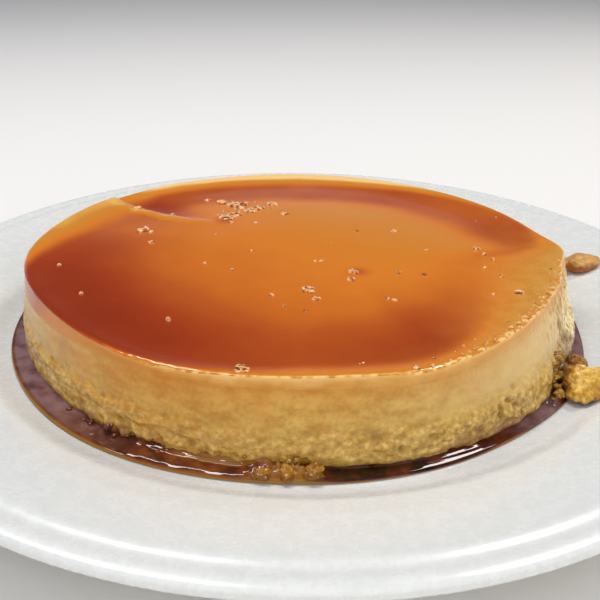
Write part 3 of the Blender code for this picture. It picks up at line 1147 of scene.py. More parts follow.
@dataclass(frozen=True)
class Plate:
    """The shallow plate, turned: a flat well, a rising rim with a moulded ring, a rolled lip and a foot."""

    sectors: int = 288
    step: float = 0.8 * MM
    radius: float = 140 * MM
    # How far the section's corners are rounded, and in what steps.
    corner: float = 0.7 * MM
    corner_step: float = 0.2 * MM
    # How far the underside stands clear of the table inside the foot.
    foot_recess: float = 4.5 * MM

    def outline(self) -> list[tuple[float, float]]:
        """The plate's section, from under its middle out to the lip and back to the middle of its well.

        Returns:
            Its corners, as (radius, height).
        """
        low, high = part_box("plate")
        rim = high.z
        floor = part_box("custard")[0].z - FlanForm.gap
        return [
            (2 * MM, low.z + self.foot_recess),
            (77.5 * MM, low.z + self.foot_recess),
            (79 * MM, low.z),
            (84 * MM, low.z),
            (88 * MM, low.z + 3.6 * MM),
            (110 * MM, low.z + 7.6 * MM),
            (135 * MM, rim - 4.6 * MM),
            (139 * MM, rim - 3.5 * MM),
            (self.radius, rim - 1.9 * MM),
            (139 * MM, rim - 0.5 * MM),
            (136 * MM, rim),
            (132.6 * MM, rim - 0.7 * MM),
            (130.4 * MM, rim),
            (124 * MM, rim - 1.1 * MM),
            (113 * MM, floor + 5.2 * MM),
            (105 * MM, floor + 3.2 * MM),
            (100.5 * MM, floor + 1.0 * MM),
            (97 * MM, floor),
            (80 * MM, floor),
        ]

    def build(self, look: Material) -> Piece:
        """Turns and dresses the plate.

        Args:
            look: The glaze.

        Returns:
            The plate.
        """
        corners = np.array(self.outline())
        runs = np.hypot(*np.diff(corners, axis=0).T)
        places = np.concatenate([[0.0], np.cumsum(runs)])
        path = np.arange(0.0, places[-1], self.step)
        radius, height = (
            along(softened(tuple(zip(places, values)), self.corner, self.corner_step), path)[:, None]
            for values in corners.T
        )
        rings = polar(radius, turns(self.sectors), height)
        return dress(ring_mesh("stoneware_plate", rings), look, ("plate",))


@dataclass(frozen=True)
class Custard:
    """The disc of steamed custard, from the plate's floor up to the caramel."""

    rows: int = 92

    def build(self, skin: FlanSkin, look: Material) -> Piece:
        """Models and dresses the custard.

        Args:
            skin: The flan's relief and stains.
            look: The custard's material.

        Returns:
            The custard.
        """
        form = skin.form
        angle, way = np.meshgrid(turns(skin.sectors), np.linspace(0, 1, self.rows))
        height = form.gap + (form.seam(angle) - form.gap) * way
        points, traits = skin.side(angle, height)
        piece = ring_mesh("custard_disc", points, traits)
        piece.data.set_sharp_from_angle(angle=SHARP_ANGLE)
        return dress(piece, look, ("custard",))


@dataclass(frozen=True)
class Shade:
    """How dark the caramel is along one line in from the edge.

    angle is the line's, in degrees. depth is the darkest value, peak how far in it lies, rise where the
    caramel has darkened half-way to it from the edge, and fall how far past the peak it pales, in
    millimetres. lip is how dark it is just inside the lip.
    """

    angle: float
    depth: float
    rise: float
    peak: float
    fall: float
    lip: float


@dataclass(frozen=True)
class Spot:
    """One bubble, crumb or stain: its place on the top and its radius, in millimetres."""

    x: float
    y: float
    radius: float

    def nearness(self, x: Array, y: Array) -> Array:
        """1 at the spot's middle, fading to 0 past its radius."""
        return np.exp(-(((x - self.x * MM) ** 2 + (y - self.y * MM) ** 2) / (self.radius * MM) ** 2))


@dataclass(frozen=True)
class CaramelLayer:
    """The caramel: a raised rounded lip round a shallow moat, a paler middle and a sunken, creased part."""

    skirt_rows: int = 12
    lip_rows: int = 10
    bevel_rows: int = 12
    outer_rows: int = 66
    inner_rows: int = 24
    # Where the rows of the bevel and the outer rows end, in from the edge, and the share where the last one is.
    bevel_end: float = 3 * MM
    outer_reach: float = 46 * MM
    last_share: float = 0.01
    # Where lip is below 0, at the back, the rim is at its palest over a wider band: thin caramel, and painted
    # light from behind.
    shades: tuple[Shade, ...] = table_of(
        Shade, (-180, 0.74, 6.0, 17, 20, 0.18), (-172, 0.80, 2.5, 15, 20, 0.30),
        (-165, 0.86, 0.8, 13, 20, 0.75), (-150, 0.90, 0.5, 12, 20, 0.90), (-135, 0.90, 0.5, 11, 20, 0.85),
        (-120, 0.86, 1.4, 12, 20, 0.62), (-105, 0.76, 2.6, 13, 19, 0.44), (-90, 0.67, 4.4, 13, 18, 0.28),
        (-75, 0.72, 4.6, 14, 18, 0.25), (-60, 0.77, 4.8, 16, 18, 0.20), (-45, 0.58, 8.0, 18, 18, 0.14),
        (-30, 0.50, 12.0, 20, 18, 0.15), (-15, 0.45, 17.0, 24, 18, 0.16), (-4, 0.47, 16.0, 24, 14, 0.15),
        (3, 0.54, 7.0, 14, 12, 0.14), (9, 0.62, 3.0, 13, 13, 0.32), (16, 0.67, 1.2, 14, 13, 0.46),
        (28, 0.58, 1.6, 17, 13, 0.42), (45, 0.58, 3.0, 20, 12, 0.20), (60, 0.65, 5.2, 22, 10, -0.06),
        (75, 0.61, 7.8, 25, 9, -0.12), (90, 0.60, 8.8, 27, 9, -0.14), (105, 0.60, 8.0, 25, 9, -0.12),
        (120, 0.62, 7.0, 23, 9, -0.08), (135, 0.62, 5.5, 18, 9, -0.02), (150, 0.55, 12.0, 24, 14, 0.08),
        (165, 0.54, 10.0, 19, 20, 0.08), (180, 0.74, 6.0, 17, 20, 0.18),
    )
    middle_depth: float = 0.35
    middle_tilt: tuple[float, float] = (-2.2, -2.4)
    # The pale line along the lip is thin caramel with a painted highlight: how wide it is, where there is none,
    # and how whole and how broken it is.
    line_width: float = 1.0 * MM
    wide_line: Lobe = Lobe(-84, 34, 0.7 * MM, 4)
    no_line: Lobe = Lobe(-152, 30, 1.0, 4)
    line_grain: float = 2.2 * MM
    line_whole: float = 0.9
    line_break: float = 0.9
    # Near the torn end the lip is broken into clear and dark specks: how strong, how large and how far in.
    specks: Lobe = Lobe(-38, 30, 0.75, 4)
    speck_size: float = 1.3 * MM
    speck_reach: float = 2.6 * MM
    # The crease's ridge is clear: how clear, by what share, and where that ends along X and over how much.
    ridge_depth: float = 0.06
    ridge_share: float = 0.9
    ridge_end: float = -34 * MM
    ridge_edge: float = 14 * MM
    # Behind the crease the caramel is darker: how much, how far it is wholly so, and how far it fades.
    crease_dark: float = 0.25
    crease_level: float = 2 * MM
    crease_reach: float = 11 * MM
    # Painted shade round two clusters of froth, and how much darker it is there.
    froth_shade_spots: tuple[Spot, ...] = (Spot(17.6, -18.6, 3.0), Spot(-28.5, 26.5, 3.2))
    froth_shade_depth: float = 0.24
    # The torn end is matt: where the film thins out, and how far in.
    thin: Lobe = Lobe(-22, 30, 0.35)
    thin_reach: float = 16 * MM

    def depth(self, form: FlanForm, angle: Array, inset: Array, x: Array, y: Array) -> Array:
        """How deep and dark the caramel is.

        Args:
            form: The flan's form.
            angle: Each point's angle.
            inset: How far in from the top's edge it is.
            x: Its place along X.
            y: Its place along Y.

        Returns:
            Values from 0 at the clear edge to 1 where it is darkest.
        """
        darkest, lip = (read_off(self.shades, field, angle) for field in ("depth", "lip"))
        rise, peak, fall = (read_off(self.shades, field, angle, MM) for field in ("rise", "peak", "fall"))
        middle = self.middle_depth + self.middle_tilt[0] * x + self.middle_tilt[1] * y
        past = np.clip(inset - peak, 0.0, None)
        pooled = middle + (darkest - middle) * np.exp(-((past / fall) ** 2))
        edge = smooth_step(inset / (2 * rise))
        flat = spread(x, y)
        # The pale line along the lip: thin caramel and a painted highlight.
        broken = self.line_whole + self.line_break * fractal(flat, self.line_grain, 2, 4.1)
        broken = np.clip(broken, 0, 1)
        line_width = self.line_width + self.wide_line.at(angle)
        line = (1 - self.no_line.at(angle)) * (1 - smooth_step(inset / line_width)) * broken
        speck = self.specks.at(angle) * np.exp(-((inset / self.speck_reach) ** 2))
        whole = pooled * edge + lip * (1 - line) * (1 - edge)
        whole = whole + speck * fractal(flat, self.speck_size, 2, 8.2)
        # Painted shade round the froth.
        whole = whole + self.froth_shade_depth * sum(spot.nearness(x, y) for spot in self.froth_shade_spots)
        behind = form.behind_crease(x, y)
        creased = form.creased(x)
        ridge = np.clip(form.ridge(x, y), 0, 1) * smooth_step((self.ridge_end - x) / self.ridge_edge)
        past = np.clip(behind - self.crease_level, 0, None)
        dark = creased * smooth_step(behind / form.crease_edge) * np.exp(-((past / self.crease_reach) ** 2))
        return whole + (self.ridge_depth - whole) * self.ridge_share * ridge + self.crease_dark * dark

    def build(self, skin: FlanSkin, look: Material) -> Piece:
        """Models and dresses the caramel layer.

        Args:
            skin: The flan's relief and stains.
            look: The caramel's material.

        Returns:
            The caramel layer.
        """
        form = skin.form
        around = turns(skin.sectors)
        angle, way = np.meshgrid(around, np.linspace(0, 1, self.skirt_rows))
        height = form.seam(angle) + (form.edge_height(angle) - form.seam(angle)) * way
        skirt, traits = skin.side(angle, height)
        corner = form.lip_width * (1 - np.cos(np.linspace(0, pi / 2, self.lip_rows + 1)[1:]))
        bevel = np.linspace(form.lip_width, self.bevel_end, self.bevel_rows + 1)[1:]
        outer = np.linspace(self.bevel_end, self.outer_reach, self.outer_rows + 1)[1:]
        insets = np.concatenate([corner, bevel, outer])
        inner = np.linspace(1, self.last_share, self.inner_rows + 1)[1:]
        edge = form.radius(around, form.edge_height(around) / form.height)
        rows = [edge - inset for inset in insets] + [(edge - self.outer_reach) * share for share in inner]
        reach = np.array(rows)
        angle = np.broadcast_to(around, reach.shape)
        inset = edge - reach
        x, y = reach * np.cos(angle), reach * np.sin(angle)
        crown = spread(x, y, form.top_height(angle, inset))
        depth = self.depth(form, angle, inset, x, y)
        film = 1 - self.thin.at(angle) * np.exp(-((inset / self.thin_reach) ** 2))
        crown_traits = {name: np.zeros_like(depth) for name in traits} | {"film": film, "depth": depth}
        joined = {name: np.vstack([traits[name], crown_traits[name]]) for name in traits}
        piece = ring_mesh("caramel_layer", np.concatenate([skirt, crown]), joined)
        piece.data.set_sharp_from_angle(angle=SHARP_ANGLE)
        return dress(piece, look, ("caramel_top",))


@dataclass(frozen=True)
class SauceTone:
    """How the sauce looks at one angle, in degrees.

    depth is how dark it is and cloud how cloudy, with a painted mauve reflection, both from 0 to 1, and edge
    how wide its clear rim is, in millimetres.
    """

    angle: float
    depth: float
    cloud: float
    edge: float


@dataclass(frozen=True)
class SaucePool:
    """The narrow pool of sauce: a still surface with a rounded outer edge, which climbs the custard's foot."""

    sectors: int = 900
    # The rows crowd towards the outer edge by this power.
    rows: int = 40
    crowding: float = 1.7
    radius: float = 95.6 * MM
    lobes: tuple[Lobe, ...] = table_of(
        Lobe, (-125, 24, 1.8 * MM), (-50, 18, -1.5 * MM), (-5, 24, -3.0 * MM), (180, 14, -0.8 * MM)
    )
    # In from the outer edge: (distance, height above the underside). Where it glints there is a bead and an
    # even slope, then level sauce. Elsewhere the surface is calm.
    glinting: Pairs = (
        (0.0 * MM, 0.0 * MM), (0.12 * MM, 0.50 * MM), (0.42 * MM, 0.96 * MM), (1.25 * MM, 1.27 * MM),
        (1.60 * MM, 1.33 * MM), (6.0 * MM, 1.50 * MM),
    )
    calm: Pairs = ((0.0 * MM, 0.0 * MM), (0.06 * MM, 0.90 * MM), (0.20 * MM, 1.26 * MM), (6.0 * MM, 1.50 * MM))
    # Out from the custard's foot: (distance, how far the sauce climbs).
    glinting_climb: Pairs = (
        (0.00 * MM, 1.10 * MM), (0.35 * MM, 0.66 * MM), (1.35 * MM, 0.30 * MM), (1.65 * MM, 0.00 * MM)
    )
    calm_climb: Pairs = ((0.00 * MM, 0.40 * MM), (0.30 * MM, 0.12 * MM), (0.7 * MM, 0.0 * MM))
    glints: tuple[Lobe, ...] = (Lobe(-107.5, 11.5, 1.0, 8), Lobe(-65, 7.5, 1.0, 6))
    # Where the glinting slopes are gentler than that.
    gentler: Lobe = Lobe(-64, 12, -0.13, 4)
    # The wet mounds in which the small scraps and the broken piece lie.
    mounds: tuple[Lobe, ...] = (Lobe(-92.3, 5.8, 2.5 * MM, 6), Lobe(-36, 3.2, 3.0 * MM, 4))
    mound_grain: float = 3.2 * MM
    # Where it is only a film over the custard's foot, and how far out.
    shallow: Lobe = Lobe(-102, 9, 0.85, 4)
    shallow_reach: float = 2.6 * MM
    shallow_edge: float = 1.2 * MM
    # How much the dissolved custard clouds it, with its painted mauve reflection, and darkens it in patches.
    swirl: float = 4.5 * MM
    swirl_amount: float = 0.55
    # How far the corners of its edge are rounded, and in what steps. Its rim stays even for rim_width.
    corner: float = 0.12 * MM
    corner_step: float = 0.04 * MM
    rim_width: float = 1.5 * MM
    # It meets the custard at this share of the flan's height, and runs on this far under it.
    foot_share: float = 0.08
    under_flan: float = 2.5 * MM
    ripple_size: float = 4.5 * MM
    ripple_height: float = 0.05 * MM
    lumps: Lobe = Lobe(-116, 15, 0.4 * MM)
    lump_size: float = 3.0 * MM
    tones: tuple[SauceTone, ...] = table_of(
        SauceTone, (-180, 0.6, 0.84, 0.9), (-160, 0.55, 0.94, 1.0), (-145, 0.5, 0.76, 1.2),
        (-130, 0.42, 0.45, 1.2), (-116, 0.58, 0.0, 0.9), (-103, 0.50, 0.0, 0.8), (-99.5, 0.60, 0.0, 0.7),
        (-97, 0.45, 0.0, 0.7), (-94, 0.16, 0.0, 0.7), (-90, 0.08, 0.0, 0.6), (-87.5, 0.45, 0.0, 0.4),
        (-84, 0.90, 0.0, 0.2), (-70, 0.95, 0.0, 0.1), (-61, 0.70, 0.0, 0.1), (-55, 0.50, 0.0, 0.3),
        (-52, 0.52, 0.15, 0.3), (-49, 0.60, 0.65, 0.1), (-41, 0.65, 0.65, 0.1), (-38, 0.75, 0.0, 0.1),
        (-33, 0.75, 0.0, 0.1), (-22, 0.35, 0.9, 0.3), (5, 0.5, 0.8, 0.8), (30, 0.8, 0.1, 0.8),
        (150, 0.8, 0.1, 0.8), (180, 0.6, 0.84, 0.9),
    )

    def build(self, form: FlanForm, look: Material) -> Piece:
        """Models and dresses the pool.

        Args:
            form: The flan's form.
            look: The sauce's material.

        Returns:
            The pool.
        """
        angle, way = np.meshgrid(turns(self.sectors), np.linspace(0, 1, self.rows) ** self.crowding)
        outer = self.radius + lobe_sum(self.lobes, angle)
        foot = form.radius(angle, np.full_like(angle, self.foot_share))
        reach = outer + (foot - self.under_flan - outer) * way
        inwards = outer - reach
        flat = polar(reach, angle)
        inside = smooth_step(inwards / self.rim_width)
        glint = lobe_sum(self.glints, angle)
        bead, slope, calm, climb = (
            softened(points, self.corner, self.corner_step)
            for points in (self.glinting, self.glinting_climb, self.calm, self.calm_climb)
        )
        shine = (along(bead, inwards) + along(slope, reach - foot) * inside) * (1 + self.gentler.at(angle))
        still = along(calm, inwards) + along(climb, reach - foot) * inside
        level = still + (shine - still) * glint
        level = level - level[:1]
        ripple = self.ripple_height * fractal(flat, self.ripple_size, 2, 6.1)
        lump = self.lumps.at(angle) * np.clip(fractal(flat, self.lump_size, 2, 2.7) + 0.15, 0, None)
        grain = np.clip(0.8 + 0.9 * fractal(flat, self.mound_grain, 3), 0, 2)
        mound = lobe_sum(self.mounds, angle) * np.sin(pi * np.clip(way * 1.15, 0, 1)) ** 0.7 * grain
        height = form.gap + level + (ripple + lump + mound) * inside
        surface = spread(flat[..., 0], flat[..., 1], form.floor + height)
        underside = surface[[-1, 0]].copy()
        underside[..., 2] = form.floor + form.gap
        rings = np.concatenate([surface, underside[:1]])
        dark, cloud = (read_off(self.tones, field, angle) for field in ("depth", "cloud"))
        edge = read_off(self.tones, "edge", angle, MM)
        swirl = fractal(flat, self.swirl, 4, 1.7)
        cloud = cloud * (1 + 1.4 * self.swirl_amount * swirl)
        film = self.shallow.at(angle) * smooth_step((foot + self.shallow_reach - reach) / self.shallow_edge)
        dark = dark * (1 - self.swirl_amount * swirl) * (1 - film)
        traits = {
            "depth": np.clip(dark, 0, 1) * smooth_step(inwards / edge),
            # cloud: the cloudiness, with a painted mauve reflection.
            "cloud": np.clip(cloud, 0, 1) * smooth_step((inwards - 0.4 * edge) / (1.2 * edge)),
        }
        rimmed = {name: np.vstack([values, values[-1:]]) for name, values in traits.items()}
        piece = ring_mesh("sauce_pool", rings, rimmed, Ends.JOINED)
        return dress(piece, look, ("caramel_sauce",))


class Soaking(Enum):
    """How far up the sauce has got into a scrap, as a share of its height."""

    FOOT = 0.25
    HALF = 0.62


@dataclass(frozen=True)
class Scrap:
    """A broken bit of custard, crumbled finer than its solid."""

    node: str
    slot: str
    soaking: Soaking
    crumb: float = 2.6 * MM
    crumb_height: float = 0.9 * MM
    # Points closer than this are one, and the solid is refined so many times.
    merge: float = 0.01 * MM
    levels: int = 3
    # How far out the crumbs start, how many times smaller the fine ones are, and how much they and the noise
    # stand up, as shares of crumb_height.
    crumb_level: float = 0.60
    fine_crumb: float = 2.6
    fine_share: float = 0.3
    noise_share: float = 0.5
    # The soaking's edge: how soft it is and how far it strays, as shares of the height, and in what waves.
    soak_edge: float = 0.25
    soak_wander: float = 0.18
    soak_grain: float = 3 * MM
    # Out to where from the plate's middle the flan's wet side has soaked it, how far that strays, how softly
    # it ends and how strong it is.
    wicked_to: float = 0.0
    wicked_wander: float = 9 * MM
    wicked_edge: float = 2.5 * MM
    wicked_share: float = 0.7

    def build(self, look: Material) -> Piece:
        """Refines a copy of the solid and dresses it.

        Args:
            look: Its material.

        Returns:
            The scrap.
        """
        low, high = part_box(self.node)
        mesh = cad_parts[self.node].data.copy()
        mesh.materials.clear()
        skin = bmesh.new()
        skin.from_mesh(mesh)
        bmesh.ops.remove_doubles(skin, verts=skin.verts, dist=self.merge)
        skin.to_mesh(mesh)
        skin.free()
        rough = placed(self.node + "_rough", mesh)
        finer = rough.modifiers.new("finer", "SUBSURF")
        finer.levels = finer.render_levels = self.levels
        shown = used_up(rough)
        count = len(shown.vertices)
        points, normals = np.empty(count * 3, np.float32), np.empty(count * 3, np.float32)
        shown.vertices.foreach_get("co", points)
        shown.vertices.foreach_get("normal", normals)
        points, normals = points.reshape(-1, 3).astype(float), normals.reshape(-1, 3)
        near, _ = cells(points, self.crumb, 0.4)
        fine, _ = cells(points, self.crumb / self.fine_crumb, 3.4)
        crumbs = self.crumb_level - near - self.fine_share * fine
        relief = self.crumb_height * (crumbs + self.noise_share * fractal(points, self.crumb / 2, 3))
        points += normals * relief[:, None]
        points[:, 2] = np.maximum(points[:, 2], low.z)
        shown.vertices.foreach_set("co", points.astype(np.float32).reshape(-1))
        level = (points[:, 2] - low.z) / (high.z - low.z)
        wander = self.soak_wander * fractal(points, self.soak_grain, 3, 1.2)
        soak = smooth_step((self.soaking.value + wander - level) / self.soak_edge)
        inner = self.wicked_to - np.hypot(points[:, 0], points[:, 1]) + self.wicked_wander * wander
        wicked = self.wicked_share * smooth_step(inner / self.wicked_edge)
        # Painted shade in the crumbs' recesses.
        hollow = np.clip(-relief / self.crumb_height, 0, 1)
        traits = {"soak": np.maximum(soak, wicked), "hollow": hollow, "stain": np.clip(0.2 + wander, 0, 1)}
        keep_traits(shown, traits)
        shown.shade_smooth()
        shown.update()
        return dress(placed(self.node + "_crumbled", shown), look, (self.node,))


class Beads:
    """Geometry Nodes that put small uneven beads on named spots and scatter more over a patch.

    RARITY is how much rarer large scattered beads are than small ones, TILT how far a bead tilts at most, in
    radians, and NARROWING its width as a share of its length. NAMED is the least size of a named spot.
    """

    RARITY = 3.0
    TILT = 0.3
    NARROWING = 0.8
    NAMED = 1e-6

    def __init__(
        self, name: str, squash: float, unevenness: float, lump: float, smallest: float, largest: float
    ) -> None:
        """Builds the tree.

        Args:
            name: The tree's name.
            squash: A bead's height as a share of its width.
            unevenness: How far its skin strays.
            lump: The size of the lumps on it.
            smallest: The radius of the smallest scattered bead.
            largest: The radius of the largest.
        """
        tree = bpy.data.node_groups.new(name, "GeometryNodeTree")
        inputs = {
            given: tree.interface.new_socket(name=given, in_out="INPUT", socket_type=kind).identifier
            for given, kind in (
                ("Spots", "NodeSocketGeometry"),
                ("Density", "NodeSocketFloat"),
                ("Seed", "NodeSocketInt"),
                ("Look", "NodeSocketMaterial"),
            )
        }
        self.density, self.seed, self.look = inputs["Density"], inputs["Seed"], inputs["Look"]
        tree.interface.new_socket(name="Beads", in_out="OUTPUT", socket_type="NodeSocketGeometry")
        given = add_node(tree, "NodeGroupInput").outputs
        size, crowd = (
            add_node(tree, "GeometryNodeInputNamedAttribute", {"Name": trait}, data_type="FLOAT")
            for trait in ("size", "crowd")
        )
        named = add_node(tree, "FunctionNodeCompare", {0: size, 1: self.NAMED}, data_type="FLOAT")
        spots = add_node(tree, "GeometryNodeMeshToPoints", {"Mesh": given["Spots"], "Selection": named})
        density = add_node(tree, "ShaderNodeMath", {0: given["Density"], 1: crowd}, operation="MULTIPLY")
        strewn = add_node(
            tree,
            "GeometryNodeDistributePointsOnFaces",
            {"Mesh": given["Spots"], "Density": density, "Seed": given["Seed"]},
        )
        draw = add_node(tree, "FunctionNodeRandomValue", {"Seed": given["Seed"]}, data_type="FLOAT").outputs[1]
        rare = add_node(tree, "ShaderNodeMath", {0: draw, 1: self.RARITY}, operation="POWER")
        radius = add_node(tree, "ShaderNodeMapRange", {"Value": rare, "To Min": smallest, "To Max": largest})
        sized = add_node(
            tree,
            "GeometryNodeStoreNamedAttribute",
            {"Geometry": strewn, "Name": "size", "Value": radius},
            data_type="FLOAT",
            domain="POINT",
        )
        both = add_node(tree, "GeometryNodeJoinGeometry")
        tree.links.new(spots.outputs[0], both.inputs[0])
        tree.links.new(sized.outputs[0], both.inputs[0])
        bead = add_node(tree, "GeometryNodeMeshIcoSphere", {"Radius": 1.0, "Subdivisions": 2})
        turn = add_node(tree, "FunctionNodeRandomValue", {"Seed": given["Seed"]}, data_type="FLOAT_VECTOR")
        most = (self.TILT, self.TILT, 2 * pi)
        spin = add_node(tree, "ShaderNodeVectorMath", {0: turn, 1: most}, operation="MULTIPLY")
        stretch = add_node(
            tree, "ShaderNodeVectorMath", {0: (1.0, self.NARROWING, squash), "Scale": size}, operation="SCALE"
        )
        laid = add_node(
            tree,
            "GeometryNodeInstanceOnPoints",
            {"Points": both, "Instance": bead, "Rotation": spin, "Scale": stretch},
        )
        real = add_node(tree, "GeometryNodeRealizeInstances", {"Geometry": laid})
        position = add_node(tree, "GeometryNodeInputPosition")
        wobble = add_node(tree, "ShaderNodeTexNoise", {"Vector": position, "Scale": per(lump), "Detail": 2.0})
        amount = add_node(
            tree, "ShaderNodeMapRange", {"Value": wobble, "To Min": -unevenness, "To Max": unevenness}
        )
        out = add_node(tree, "GeometryNodeInputNormal")
        offset = add_node(tree, "ShaderNodeVectorMath", {0: out, "Scale": amount}, operation="SCALE")
        moved = add_node(tree, "GeometryNodeSetPosition", {"Geometry": real, "Offset": offset})
        smooth = add_node(tree, "GeometryNodeSetShadeSmooth", {0: moved})
        dressed = add_node(tree, "GeometryNodeSetMaterial", {0: smooth, "Material": given["Look"]})
        add_node(tree, "NodeGroupOutput", {0: dressed})
        self.tree = tree

    def grow(self, name: str, base: Piece, density: float, seed: int, look: Material) -> Piece:
        """Runs the tree on a base, which it uses up.

        Args:
            name: The new piece's name.
            base: The mesh with the spots and the patch.
            density: How many beads a square metre of the patch gets where it is most crowded.
            seed: What the scatter starts from.
            look: The beads' material.

        Returns:
            The beads as one plain mesh.
        """
        grown = base.modifiers.new(name, "NODES")
        grown.node_group = self.tree
        grown[self.density] = density
        grown[self.seed] = seed
        grown[self.look] = look
        mesh = used_up(base)
        mesh.name = name
        return placed(name, mesh)


@dataclass(frozen=True)
class TopBubbles:
    """The bubbles and crumbs on the caramel: clusters where the large ones lie, and small ones strewn about."""

    # The patch that they lie on: its rings crowd by a power towards the lip, between these two insets.
    sectors: int = 96
    rings: int = 40
    crowding: float = 1.8
    patch_start: float = 0.4 * MM
    patch_width: float = 75 * MM
    # Small ones are strewn: how densely at most and, as shares of that, thinly all over, about the large
    # cluster, and thickly along the torn lip.
    density: float = 60000.0
    strewn_seed: int = 11
    strewn: float = 0.005
    cluster: tuple[float, float] = (-23 * MM, 38 * MM)
    cluster_reach: float = 9 * MM
    cluster_crowd: float = 2.2
    lip: Lobe = Lobe(-38, 27, 22.0, 4)
    lip_reach: float = 1.8 * MM
    shore: Lobe = Lobe(-38, 32, 1.5)
    shore_reach: float = 7 * MM
    # A cluster is one bubble with smaller ones round it. As shares of its radius: how large the one is, how far
    # off the others are and how large they are. They stray from an even spacing by these shares.
    main_share: float = 0.68
    ring_share: float = 0.66
    part_share: tuple[float, float] = (0.24, 0.46)
    turn_stray: float = 0.35
    reach_stray: tuple[float, float] = (0.75, 1.1)
    # How many small ones a cluster has, from which radius in millimetres on.
    counts: tuple[tuple[float, int], ...] = ((1.9, 6), (1.3, 4), (0.9, 2))
    seed: int = 23
    spots: tuple[Spot, ...] = table_of(
        Spot, (-31, 47, 2.6), (-27, 44, 3.0), (-24, 40, 2.8), (-20, 37, 3.1), (-28, 30, 3.9), (-25, 33, 2.9),
        (-17, 40, 2.4), (-22, 45, 2.3), (-12, 45, 2.5), (-7, 34, 1.9), (-26, 24, 1.3), (-17, 24, 1.0),
        (-56, 16, 2.7), (-53, 14, 1.1), (-51, 4, 1.4), (-62, 39, 1.7), (-48, 33, 1.5), (-37, 50, 1.4),
        (-77, -16, 1.1), (-65, -37, 0.8), (-37, -53, 1.3), (-31, -14, 0.8), (-22, -19, 0.8), (-17, -3, 1.0),
        (-9, -37, 1.1), (-5, -44, 0.7), (2, -33, 2.5), (4, -39, 1.5), (1, -47, 0.7), (6, -11, 1.3),
        (4, -11, 0.6), (16, -19, 2.0), (15, -25, 1.7), (25, -38, 1.1), (27, -39, 1.0), (30, -19, 1.3),
        (38, -20, 0.8), (41, 0, 0.8), (32, 18, 1.4), (19, 17, 0.7), (58, 3, 1.7), (60, -2, 0.8), (62, -6, 0.8),
        (58, -13, 0.7), (62, -20, 0.8), (57, -33, 0.6), (65, -32, 1.8), (-15, -80.5, 2.6), (29, -79, 1.4),
        (33, -78, 1.0),
    )

    def clustered(self) -> list[Spot]:
        """The bubbles that each spot is made of. The smallest spots stay single.

        Returns:
            All the bubbles.
        """
        chance = np.random.default_rng(self.seed)
        made = []
        for spot in self.spots:
            count = next((many for least, many in self.counts if spot.radius > least), 0)
            made.append(Spot(spot.x, spot.y, spot.radius * (self.main_share if count else 1.0)))
            start = chance.uniform(0, 2 * pi)
            strays = chance.uniform(-self.turn_stray, self.turn_stray, count)
            for turn in start + (np.arange(count) + strays) * 2 * pi / max(count, 1):
                away = spot.radius * self.ring_share * chance.uniform(*self.reach_stray)
                own = spot.radius * chance.uniform(*self.part_share)
                made.append(Spot(spot.x + away * cos(turn), spot.y + away * sin(turn), own))
        return made

    def build(self, form: FlanForm, look: Material) -> Piece:
        """Models and dresses the bubbles.

        Args:
            form: The flan's form.
            look: The froth's material.

        Returns:
            The bubbles as one piece.
        """
        around = turns(self.sectors)
        inset = self.patch_start + self.patch_width * np.linspace(0, 1, self.rings) ** self.crowding
        angle, inset = np.meshgrid(around, inset)
        reach = form.radius(angle, np.ones_like(angle)) - inset
        x, y = reach * np.cos(angle), reach * np.sin(angle)
        patch = spread(x, y, form.top_height(angle, inset))
        shore = self.lip.at(angle) * np.exp(-((inset / self.lip_reach) ** 2))
        shore += self.shore.at(angle) * np.exp(-((inset / self.shore_reach) ** 2))
        across, back = (x - self.cluster[0]) / self.cluster_reach, (y - self.cluster[1]) / self.cluster_reach
        crowd = self.strewn + shore + self.cluster_crowd * np.exp(-(across**2) - back**2)
        base = ring_mesh("froth_patch", patch, {"crowd": crowd, "size": 0 * crowd}, Ends.OPEN)
        skin = bmesh.new()
        skin.from_mesh(base.data)
        size = skin.verts.layers.float["size"]
        for spot in self.clustered():
            place = np.array([[spot.x * MM, spot.y * MM]])
            turn = np.arctan2(place[:, 1], place[:, 0])
            inwards = form.radius(turn, np.ones(1)) - np.hypot(place[:, 0], place[:, 1])
            level = form.top_height(turn, inwards)[0]
            vert = skin.verts.new((spot.x * MM, spot.y * MM, level))
            vert[size] = spot.radius * MM
        skin.to_mesh(base.data)
        skin.free()
        beads = Beads(
            "froth_beads",
            squash=0.95,
            unevenness=0.12 * MM,
            lump=0.8 * MM,
            smallest=0.16 * MM,
            largest=0.5 * MM,
        )
        piece = beads.grow("top_bubbles", base, self.density, self.strewn_seed, look)
        places = np.empty(len(piece.data.vertices) * 3, np.float32)
        piece.data.vertices.foreach_get("co", places)
        places[2::3] = np.minimum(places[2::3], CAD_BOX[1].z)
        piece.data.vertices.foreach_set("co", places)
        return dress(piece, look)


